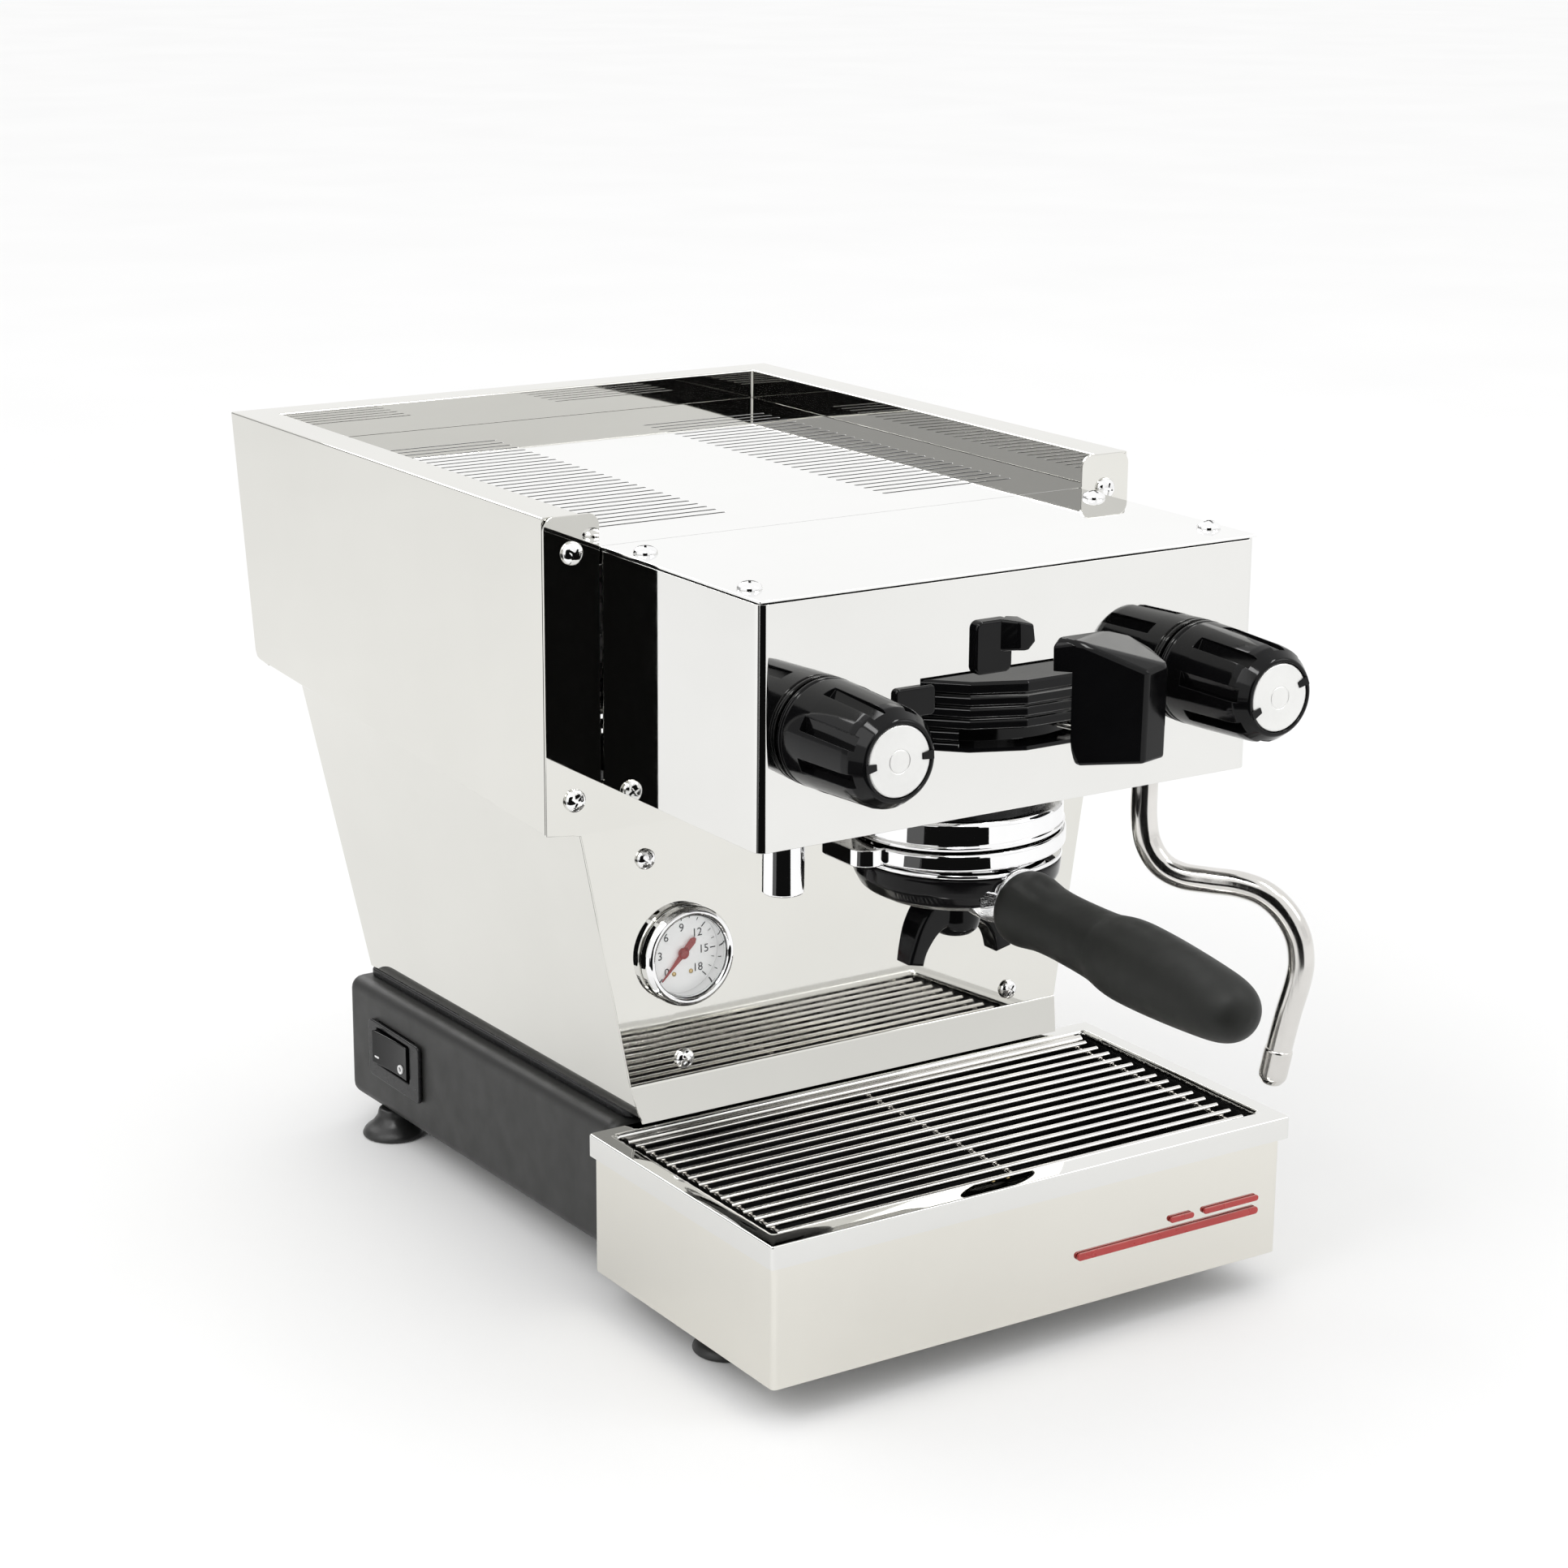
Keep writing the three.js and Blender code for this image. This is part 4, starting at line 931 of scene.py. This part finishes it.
def neck():
    """The rough cast neck, flaring into the bowl, with ribs and two washers before the grip."""
    profile = softened([
        (0, 32), (16.5, 33), (16.4, 38), (13.6, 41.4), (11.2, 43.6), (10.8, 44.6), (12.6, 45.2),
        (12.6, 46.4),
        (11.4, 46.8), (11.4, 47.4), (13, 47.8), (13, 49.5), (0, 49.5),
    ], 0.9, 3)
    core = turned(profile, "y", (0, GROUP_Y, 213), 72)
    for v in core.vertices:
        y = -(v.co.y / MM - SHIFT_Y - GROUP_Y)
        if y < 44:
            z = v.co.z / MM - 213
            x = v.co.x / MM
            grow = max(0, (44 - y) / 12)
            v.co.x = x * (1 + 0.35 * grow) * MM
            v.co.z = (213 + z * (1 - 0.22 * grow)) * MM
    def rib(points):
        return bevelled(solid_hull([(x, GROUP_Y - out, z) for x, out, z in points]), 0.7, 3)

    middle = [
        (-2.2, 45, 222.5), (2.2, 45, 222.5), (-1.6, 48, 219.5), (1.6, 48, 219.5),
        (-2.2, 45, 204.2), (2.2, 45, 204.2), (-1.6, 48, 206.6), (1.6, 48, 206.6),
    ]
    side = [
        (9, 44, 217.5), (18, 43, 217.5), (8, 48, 215.6), (11, 48, 215.6),
        (9, 44, 208.5), (18, 43, 208.5), (8, 48, 210.4), (11, 48, 210.4),
    ]
    sides = [rib([(s * x, out, z) for x, out, z in side]) for s in (-1, 1)]
    return joined([core, rib(middle), *sides])


add("bowl_shell", bowl(), GLOSS, "portafilter", ["portafilter_body"])
add("bowl_rim", bowl_rim(), CHROME, "portafilter")
add("cast_neck", neck(), CAST, "portafilter")


def basket():
    profile = softened([
        (0, 211), (28, 211), (33, 214), (34.5, 241.4), (38.8, 241.4), (38.8, 242.3), (33.6, 242.3),
        (32.2, 214.6), (27.6, 212), (0, 212),
    ], 0.8, 3)
    return turned(profile, center=(0, GROUP_Y, 0))


add("coffee_basket", basket(), SATIN, "portafilter", ["filter_basket"])


def grip():
    """The waisted grip, turned about an axis that drops a little towards its tip."""
    start = 49.6
    length = 293 + GROUP_Y - start
    outline = [
        (0.0, 14.2), (0.008, 16.2), (0.03, 17.2), (0.055, 17.1), (0.09, 16.2), (0.13, 15.3), (0.2, 14.8),
        (0.29, 15.0), (0.36, 15.4), (0.4, 15.9), (0.425, 16.6), (0.46, 17.6), (0.5, 18.2), (0.55, 18.3),
        (0.64, 17.9), (0.74, 17.0), (0.83, 15.9), (0.89, 14.9), (0.93, 13.6), (0.96, 11.6), (0.98, 8.8),
        (0.994, 4.8), (1.0, 0),
    ]
    pts = [Vector((r, t * length)) for t, r in outline]
    curve = [(max(q.x, 0), q.y) for q in spline([pts[0], *pts, pts[-1]], 4)]
    me = local(turned([(0, 0), *curve, (0, length)], "y"))
    tilt = Matrix.Rotation(math.radians(2.7), 4, "X")
    return moved(me, Matrix.Translation(pt(0, GROUP_Y - start, 209.4)) @ tilt)


add("grip", grip(), GRIP, "portafilter", ["portafilter_handle"])


def spout():
    """A boss with two prongs that curve out and down."""
    boss = turned(softened([(0, 183.4), (7.6, 183.4), (10.6, 186), (11.6, 190), (11.6, 203.1),
                            (0, 203.1)], 1.4, 4),
                  center=(0, GROUP_Y, 0), segments=64)
    plate_top = turned(softened([(0, 199.4), (17, 199.4), (18.4, 200.6), (18.4, 203.2), (0, 203.2)], 0.8, 3),
                       center=(0, GROUP_Y, 0), segments=72)
    prongs = []
    for s in (-1, 1):
        outer = [(4, 203), (13, 203), (19, 199), (24.5, 190), (27.4, 180), (28.6, 173.4)]
        inner = [(20.6, 171.6), (18.4, 179), (13, 186.4), (6, 189.6), (0, 190)]
        dense = []
        for chain in (outer, inner):
            ctrl = [Vector((u, v, 0)) for u, v in chain]
            dense += [(s * p.x, p.y) for p in smooth_path(ctrl, 5)]
        me = plate([dense], "xz", GROUP_Y - 8, GROUP_Y + 8, 2.2, 5)
        for v in me.vertices:
            t = min(1, max(0, (196 - v.co.z / MM) / 22))
            v.co.y = (v.co.y / MM - SHIFT_Y - GROUP_Y) * (1 - 0.25 * t) * MM + (GROUP_Y + SHIFT_Y) * MM
        prongs.append(me)
    return joined([boss, plate_top, *prongs])


add("twin_spout", spout(), GLOSS, "portafilter", ["double_spout"])


# ---------- knobs ----------
def knob():
    """A tapered barrel with eight wedge grooves that run out through its front shoulder."""
    profile = softened([
        (0, 0.8), (23.6, 0.8), (24.1, 1.4), (24.1, 3), (23.2, 3.2), (23.2, 4.4), (24, 4.6), (23.6, 18),
        (22.3, 46.6), (21.6, 50.4), (17.6, 56.5), (16.3, 57), (15.8, 56.6), (15.8, 54.8), (0, 54.8),
    ], 0.7, 3)
    body = local(turned(profile, segments=128))
    for i in range(8):
        wedge = local(solid_hull([
            (-3.2, 19.4, 16), (2.6, 22.6, 16), (3.0, 26, 16), (-4.2, 27, 16),
            (-3.4, 17.6, 52), (2.4, 19.6, 52), (3.0, 24, 52), (-4.6, 26, 52),
        ]))
        around = Matrix.Rotation(math.radians(i * 45 + 14), 4, "Z")
        body = combine(body, moved(wedge, around), "DIFFERENCE")
    return bevelled(body, 0.45, 3, 35)


def knob_disc():
    """A bright disc with an engraved ring and a raised edge."""
    profile = softened([
        (0, 54.9), (15.4, 54.9), (15.6, 55.6), (15.2, 56.5), (14.6, 56.7), (5.4, 56.7), (5.2, 56.5),
        (4.9, 56.5),
        (4.7, 56.7), (0, 56.7),
    ], 0.12, 2)
    return local(turned(profile))


def pointer():
    """A black pointer that crosses the disc's edge."""
    return bevelled(solid_hull([
        (11.2, -1.5, 55.4), (16.6, -2.2, 55.4), (16.6, 2.2, 55.4), (11.2, 1.5, 55.4),
        (11.4, -1.4, 57.2), (16.9, -2.1, 57.6), (16.9, 2.1, 57.6), (11.4, 1.4, 57.2),
    ]), 0.25, 2)


for label, sign, turn in (("water", -1, 4), ("steam", 1, 22)):
    body = f"{label}_knob"  # the moving body and the barrel's CAD node share this name
    place = Matrix.Translation(pt(sign * KNOB_X, HEAD_FRONT_Y, KNOB_Z)) @ FORWARD
    spin = place @ Matrix.Rotation(math.radians(turn), 4, "Z")
    add(f"{label}_barrel", moved(knob(), spin), GLOSS, body, [body])
    add(f"{label}_disc", moved(knob_disc(), place), DISC, body, [f"{label}_knob_disc"])
    for i, way in enumerate((0, 180)):
        me = moved(local(pointer()), spin @ Matrix.Rotation(math.radians(way), 4, "Z"))
        add(f"{label}_pointer_{i}", me, GLOSS, body)


# ---------- wand and spout ----------
WAND_TURN = math.radians(50)  # the wand's own plane, turned from +X towards the front
WATER_X, WATER_Y = -102, -100.5


def wand_point(s, z):
    return pt(WAND_X + s * math.cos(WAND_TURN), WAND_Y - s * math.sin(WAND_TURN), z)


WAND_PATH = [
    (0, 262), (0, 240), (0.2, 224), (2.6, 211.4), (9, 201.8), (19, 197), (32, 196), (46, 195.4),
    (57.5, 192.3), (67, 185.2), (74, 174.6), (76.7, 163), (76, 152), (71.8, 134), (68.4, 116.6),
]
wand = swept(smooth_path([wand_point(s, z) for s, z in WAND_PATH], 9), 6.25, 40)
add("wand_tube", wand, SATIN, "steam_wand", ["steam_wand"])


def steam_tip():
    profile = softened([(0, 0.4), (2.6, 0), (4.8, 1.2), (6.6, 4), (6.85, 6), (6.85, 18.2), (6.2, 19),
                        (0, 19)], 0.7, 3)
    me = local(turned(profile, segments=64))
    end, start = wand_point(65.2, 98.3), wand_point(68.5, 117)
    lean = (start - end).normalized().to_track_quat("Z", "Y").to_matrix().to_4x4()
    return moved(me, Matrix.Translation(end) @ lean)


add("wand_tip", steam_tip(), SATIN, "steam_wand", ["steam_tip"])

tube_profile = softened([(7.2, 223.4), (8.8, 222.5), (9.4, 223.2), (9.4, 255), (7.2, 255),
                         (7.2, 223.4)], 0.4, 3)
add("water_outlet", turned(tube_profile, center=(WATER_X, WATER_Y, 0), segments=72), CHROME,
    replaces=["hot_water_spout"])
# A dark disc inside the outlet: painted shade in the tube.
add("water_outlet_shade_disc",
    turned([(0, 232), (7.1, 232), (7.1, 233), (0, 233)], center=(WATER_X, WATER_Y, 0)),
    SHADE_AND_SEAM_BLACK)


# ---------- gauges ----------
LEAN = math.atan2(-BEND_Y, WAIST_Z - BEND_Z)


def gauge_place(sign):
    return (Matrix.Translation(pt(sign * GAUGE_X, splash_y(GAUGE_Z), GAUGE_Z))
            @ Matrix.Rotation(-LEAN, 4, "X") @ FORWARD)


def gauge_case():
    profile = softened([
        (0, -26), (20, -26), (21.6, -24), (21.6, 0.5), (23.2, 0.5), (23.9, 1.4), (23.9, 5.6),
        (22.6, 7.9), (21.4, 8.4),
        (20, 7.9), (19.3, 6.6), (19.3, -3), (0, -3),
    ], 0.8, 4)
    return local(turned(profile, segments=128))


def tick(angle, r0, r1, width):
    mark = local(brick(r0, r1, -width / 2, width / 2, -1.45, -1.25))
    return moved(mark, Matrix.Rotation(angle, 4, "Z"))


def gauge_angle(value):
    """Scale angle, measured from +X anticlockwise, for a reading of 0 to 18."""
    return math.radians(225 - 270 * value / 18)


def numeral(text, angle, r, size):
    cu = bpy.data.curves.new("numeral", "FONT")
    cu.body = text
    cu.size = size * MM
    cu.align_x = "CENTER"
    cu.align_y = "CENTER"
    cu.extrude = 0.05 * MM
    cu.resolution_u = 4
    obj = bpy.data.objects.new("numeral", cu)
    scene.collection.objects.link(obj)
    there = Vector((r * math.cos(angle), r * math.sin(angle), -1.3)) * MM
    return moved(applied(obj), Matrix.Translation(there))


def gauge_print():
    marks = [tick(gauge_angle(v), 15.4, 18.2, 0.5) for v in range(0, 19, 3)]
    marks += [tick(gauge_angle(v), 16.6, 18.2, 0.3) for v in range(0, 19) if v % 3]
    marks += [numeral(str(v), gauge_angle(v), 11.9, 5.6) for v in range(0, 19, 3)]
    return joined(marks)


def gauge_needle():
    blade = plate([[(-1.5, 0), (-1.7, 7.4), (-0.6, 9.2), (0.6, 9.2), (1.7, 7.4), (1.5, 0), (0.7, -8),
                    (0.25, -16.8),
                    (-0.25, -16.8), (-0.7, -8)]], "xy", -0.35, 0.45, 0.12, 2)
    hub = turned(softened([(0, -0.6), (2.7, -0.6), (2.7, 0.9), (1.8, 1.5), (0, 1.6)], 0.3), segments=48)
    return moved(local(joined([blade, hub])), Matrix.Rotation(math.radians(-45), 4, "Z"))


for label, sign in (("brew", -1), ("steam", 1)):
    place = gauge_place(sign)
    add(f"{label}_dial_case", moved(gauge_case(), place), CHROME, replaces=[f"{label}_gauge_case"])
    face = local(turned([(0, -2.8), (19.2, -2.8), (19.2, -1.45), (0, -1.45)], segments=96))
    add(f"{label}_dial_face", moved(face, place), DIAL_GLOWING, replaces=[f"{label}_gauge_dial"])
    add(f"{label}_dial_print", moved(gauge_print(), place), INK)
    add(f"{label}_dial_needle", moved(gauge_needle(), place), RED, f"{label}_gauge_needle",
        [f"{label}_gauge_needle"])
    lens = local(turned(softened([(0, 4.6), (19.2, 4.6), (19.2, 6), (0, 6.4)], 0.3), segments=96))
    add(f"{label}_dial_lens", moved(lens, place), GLASS, replaces=[f"{label}_gauge_glass"])
    for i, dx in enumerate((-4.6, 4.6)):
        stud = local(turned(softened([(0, -1.6), (1.1, -1.6), (1.1, -0.9), (0, -0.7)], 0.2), segments=24))
        stud.transform(Matrix.Translation((dx * MM, -9.6 * MM, 0)))
        add(f"{label}_dial_stud_{i}", moved(stud, place), BRASS)


# ---------- drip tray ----------
def drip_cover():
    """The tray's outer box: a thin wrap with small rolled corners, open at the bottom and rear."""
    w, front, rear, r = 142.2, -156.7, -5.4, 2.4
    outer = [(-w, rear), *arc(-w + r, front + r, r, 180, 270, 8),
             *arc(w - r, front + r, r, 270, 360, 8), (w, rear)]
    inner = [(-w + SHEET, rear), *arc(-w + r, front + r, r - SHEET, 180, 270, 8),
             *arc(w - r, front + r, r - SHEET, 270, 360, 8), (w - SHEET, rear)]
    return plate([outer + inner[::-1]], "xy", 18, 77, 0.25)


add("tray_cover", drip_cover(), TRAY_STEEL, "drip_tray", ["drip_tray_cover"])


def basin():
    """The basin's lip, rolled inner edge and walls, as one pressed sheet."""
    steps = [
        (145.1, -159.7, -3.5, 76.1), (145.1, -159.7, -3.5, 86.0), (144.9, -159.5, -3.7, 86.7),
        (144.3, -158.9, -4.3, 87.0), (138.4, -149.2, -9.9, 87.0), (137.0, -147.8, -11.4, 86.7),
        (136.1, -146.9, -12.4, 85.8), (135.9, -146.6, -12.6, 84.6), (135.9, -146.6, -12.6, 30),
        (133.5, -144.2, -15, 27.6), (0.5, -80, -79, 27.4),
    ]
    bm = bmesh.new()
    rings = []
    for i, (w, front, rear, z) in enumerate(steps):
        r = 0.3 if i == len(steps) - 1 else 1.4 if i < 4 else 2.6
        outline = rounded(-w, w, front, rear, r, 5)
        rings.append([bm.verts.new(pt(x, y, z)) for x, y in outline])
    loft(bm, rings, close_start=False)
    return thickened(from_bmesh("basin", bm), 0.8)


add("tray_basin", basin(), STEEL, "drip_tray", ["drip_basin"], angle=50)


def basin_lining():
    """A dark sheet just inside the basin's walls: painted shade for the basin's inside."""
    bm = bmesh.new()
    rings = []
    for w, front, rear, z in ((135.6, -146.3, -12.9, 83.2), (135.6, -146.3, -12.9, 31),
                              (133, -144, -15, 28.8)):
        rings.append([bm.verts.new(pt(x, y, z)) for x, y in rounded(-w, w, front, rear, 2.4, 5)])
    loft(bm, rings, close_start=False)
    return thickened(from_bmesh("basin_shade_mesh", bm), 0.2)


add("basin_lining", basin_lining(), SHADE_AND_SEAM_BLACK, "drip_tray")


def grate():
    """Round rods across the tray on cross wires, with a stouter rod at the rear."""
    parts = []

    def bar(r, a, b, sides=14):
        a, b = pt(*a), pt(*b)
        n = (b - a).normalized()
        return swept([a, a + n * 0.0004, b - n * 0.0004, b], r, sides)

    z = 83.4  # the rods' middle
    parts.append(bar(2.4, (-132, -15.8, z), (132, -15.8, z), 20))
    first, last = -21.5, -141.6
    for i in range(14):
        y = first + (last - first) * i / 13
        parts.append(bar(1.35, (-131, y, z), (131, y, z)))
    for x in (-126.5, 0, 126.5):
        parts.append(bar(1.4, (x, -14.8, z - 2.5), (x, -144, z - 2.5)))
    return joined(parts)


add("tray_grate", grate(), SATIN, "drip_grate", ["drip_grate"])


def badge():
    """A plain red mark: a long bar with two short ones above it."""
    y0, y1 = -158.5, -157.0
    bars = [rounded(22, 129, 41, 44.6, 1.7), rounded(96, 129, 47.6, 50.4, 1.3),
            rounded(76, 90, 47.6, 50.4, 1.3)]
    return joined([plate([b], "xz", y0, y1, 0.35, 3) for b in bars])


add("tray_mark", badge(), RED, "drip_tray", ["front_badge"])


# ---------- pieces kept from the CAD ----------
KEPT = {
    "lower_rear_panel": STEEL, "head_floor": PLAIN, "group_body": PLASTIC, "shower_screen": SATIN,
    "wand_nut": CHROME, "mains_inlet": PLASTIC, "coffee_boiler": PLAIN, "steam_boiler": PLAIN,
    "pump_motor": PLASTIC, "rotary_pump": BRASS, "water_tank": TANK, "control_box": PLASTIC,
    "steam_valve": BRASS, "water_valve": BRASS,
}
for name, material in KEPT.items():
    for material_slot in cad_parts[name].material_slots:
        material_slot.material = material


# ---------- studio ----------
# The photo's polished panels hardly mirror what stands in front of them, so these pieces don't either.
for name in ("grip", "wand_tube", "wand_tip", "water_outlet", "water_outlet_shade_disc", "cap_fins", "cap_lug",
             "cap_stop", "paddle_block", "twin_spout", "steam_dial_case", "steam_dial_face",
             "steam_dial_print",
             "steam_dial_needle", "steam_dial_lens"):
    bpy.data.objects[name].visible_glossy = False


def matte(name, value):
    n = Nodes(name)
    n.color(n.ramp(n.noise(3, 2), [(0.3, (value * 0.99,) * 3), (0.7, (value * 1.01,) * 3)]))
    n.set(Roughness=0.9, Specular_IOR_Level=0.0)
    return n.mat


def flat_stage(name, corners, material):
    bm = bmesh.new()
    bm.faces.new([bm.verts.new(c) for c in corners])
    me = bpy.data.meshes.new(name)
    bm.to_mesh(me)
    bm.free()
    me.materials.append(material)
    obj = bpy.data.objects.new(name, me)
    scene.collection.objects.link(obj)
    return obj


floor = flat_stage("floor", [(-40, -40, 0), (40, -40, 0), (40, 40, 0), (-40, 40, 0)],
                   matte("floor_white", 0.9))

VIEW_YAW = math.radians(33.16)  # the photo's direction of view, which the dark cards lie across
AWAY = Vector((-math.sin(VIEW_YAW), -math.cos(VIEW_YAW), 0))
ACROSS = Vector((math.cos(VIEW_YAW), -math.sin(VIEW_YAW), 0))


def card(name, corners, material):
    """A dark or glowing card that shows in reflections and nowhere else."""
    obj = flat_stage(name, corners, material)
    obj.visible_camera = False
    obj.visible_diffuse = False
    obj.visible_shadow = False
    obj.visible_transmission = False
    return obj


CARD_LIFT = Vector((0, 0, 0.004))  # keeps the floor cards clear of the floor
CARD_TOP = Vector((0, 0, 1.75))
dark = matte("card_black", 0.004)
near, far, wall = AWAY * 0.5, AWAY * 3.4, AWAY * 2.6
card("dark_floor_card", [
    near - ACROSS * 0.36 + CARD_LIFT, near + ACROSS * 0.36 + CARD_LIFT,
    far + ACROSS * 1.7 + CARD_LIFT, far - ACROSS * 1.7 + CARD_LIFT,
], dark)
side_way = Vector((-0.96, -0.28, 0))
side_across = Vector((0.28, -0.96, 0))
card("grey_floor_card", [
    side_way * 0.6 - side_across * 0.1, side_way * 0.6 + side_across * 0.1,
    side_way * 3 + side_across * 0.5, side_way * 3 - side_across * 0.5,
], matte("card_mid", 0.08)).location = CARD_LIFT
card("dark_wall_card", [
    wall - ACROSS, wall + ACROSS, wall + ACROSS + CARD_TOP, wall - ACROSS + CARD_TOP,
], dark)


def glow(name, value):
    n = Nodes(name).set(Base_Color=(0, 0, 0, 1), Roughness=1.0, Emission_Strength=value)
    n.link(n.ramp(n.noise(2, 2), [(0.3, (0.97, 0.97, 0.97)), (0.7, (1, 1, 1))]),
           n.bsdf.inputs["Emission Color"])
    return n.mat


def upright(direction, distance, half, low, high):
    across = Vector((-direction.y, direction.x, 0))
    middle = direction.normalized() * distance
    return [
        middle - across * half + Vector((0, 0, low)), middle + across * half + Vector((0, 0, low)),
        middle + across * half + Vector((0, 0, high)), middle - across * half + Vector((0, 0, high)),
    ]


card("grey_card_left", upright(Vector((AWAY.x, -AWAY.y, 0)), 4, 2.4, 0.35, 2.2), glow("card_grey", 0.42))
card("grey_card_right", upright(Vector((-AWAY.x, AWAY.y, 0)), 4, 1.6, 0.35, 1.3), glow("card_pale", 0.9))
strip = glow("strip_light", 16)
card("rear_softbox", [(-0.9, 1.3, 2.3), (0.5, 1.3, 2.3), (0.5, 2.2, 1.4), (-0.9, 2.2, 1.4)],
     glow("softbox_light", 7))
for i, (x, y) in enumerate(((-0.9, -1.0), (0.9, -1.1))):
    corners = ((-0.16, -0.6), (0.16, -0.6), (0.16, 0.6), (-0.16, 0.6))
    card(f"strip_{i}", [(x + dx, y + dy, 2.2) for dx, dy in corners], strip)

world = bpy.data.worlds.new("studio")
scene.world = world
world.use_nodes = True
wt = world.node_tree
back = next(n for n in wt.nodes if n.type == "BACKGROUND")
coord = wt.nodes.new("ShaderNodeTexCoord")
split = wt.nodes.new("ShaderNodeSeparateXYZ")
wt.links.new(coord.outputs["Generated"], split.inputs[0])
shade = wt.nodes.new("ShaderNodeValToRGB")
shade.color_ramp.elements[0].position = 0.45
shade.color_ramp.elements[0].color = (1.03, 1.03, 1.025, 1)
shade.color_ramp.elements[1].position = 0.95
shade.color_ramp.elements[1].color = (1.08, 1.08, 1.08, 1)
lift = wt.nodes.new("ShaderNodeMapRange")
lift.inputs[1].default_value = -1
lift.inputs[2].default_value = 1
wt.links.new(split.outputs["Z"], lift.inputs[0])
wt.links.new(lift.outputs[0], shade.inputs[0])
wt.links.new(shade.outputs[0], back.inputs["Color"])
back.inputs["Strength"].default_value = 1.0


def area(name, place, target, size, power):
    light = bpy.data.lights.new(name, "AREA")
    light.shape = "RECTANGLE"
    light.size, light.size_y = size
    light.energy = power
    obj = bpy.data.objects.new(name, light)
    scene.collection.objects.link(obj)
    obj.location = place
    obj.rotation_euler = (Vector(target) - Vector(place)).to_track_quat("-Z", "Y").to_euler()
    return obj


area("key", (-2.2, -0.4, 2.2), (0, 0, 0.2), (1.6, 1.6), 18)
area("fill", (2.0, -1.8, 1.8), (0, 0, 0.2), (1.2, 1.2), 8)

# ---------- camera ----------
CAMERA_PLACE = pt(-880.67, -1292.43, 670.82)
FOCAL_PIXELS, PHOTO_PIXELS = 4221.3, 1932
YAW, PITCH, ROLL = VIEW_YAW, math.radians(15.67), math.radians(0.41)
ahead = Vector((math.sin(YAW) * math.cos(PITCH), math.cos(YAW) * math.cos(PITCH), -math.sin(PITCH)))
right = Vector((math.cos(YAW), -math.sin(YAW), 0))
up = right.cross(ahead)
cam_x = right * math.cos(ROLL) + up * math.sin(ROLL)
cam_y = up * math.cos(ROLL) - right * math.sin(ROLL)
cam = bpy.data.cameras.new("camera")
cam.sensor_width = 36
cam.lens = cam.sensor_width * FOCAL_PIXELS / PHOTO_PIXELS
cam.clip_end = 50
camera = bpy.data.objects.new("camera", cam)
scene.collection.objects.link(camera)
camera.matrix_world = Matrix.Translation(CAMERA_PLACE) @ Matrix((cam_x, cam_y, -ahead)).transposed().to_4x4()
scene.camera = camera
scene.view_settings.view_transform = "Standard"
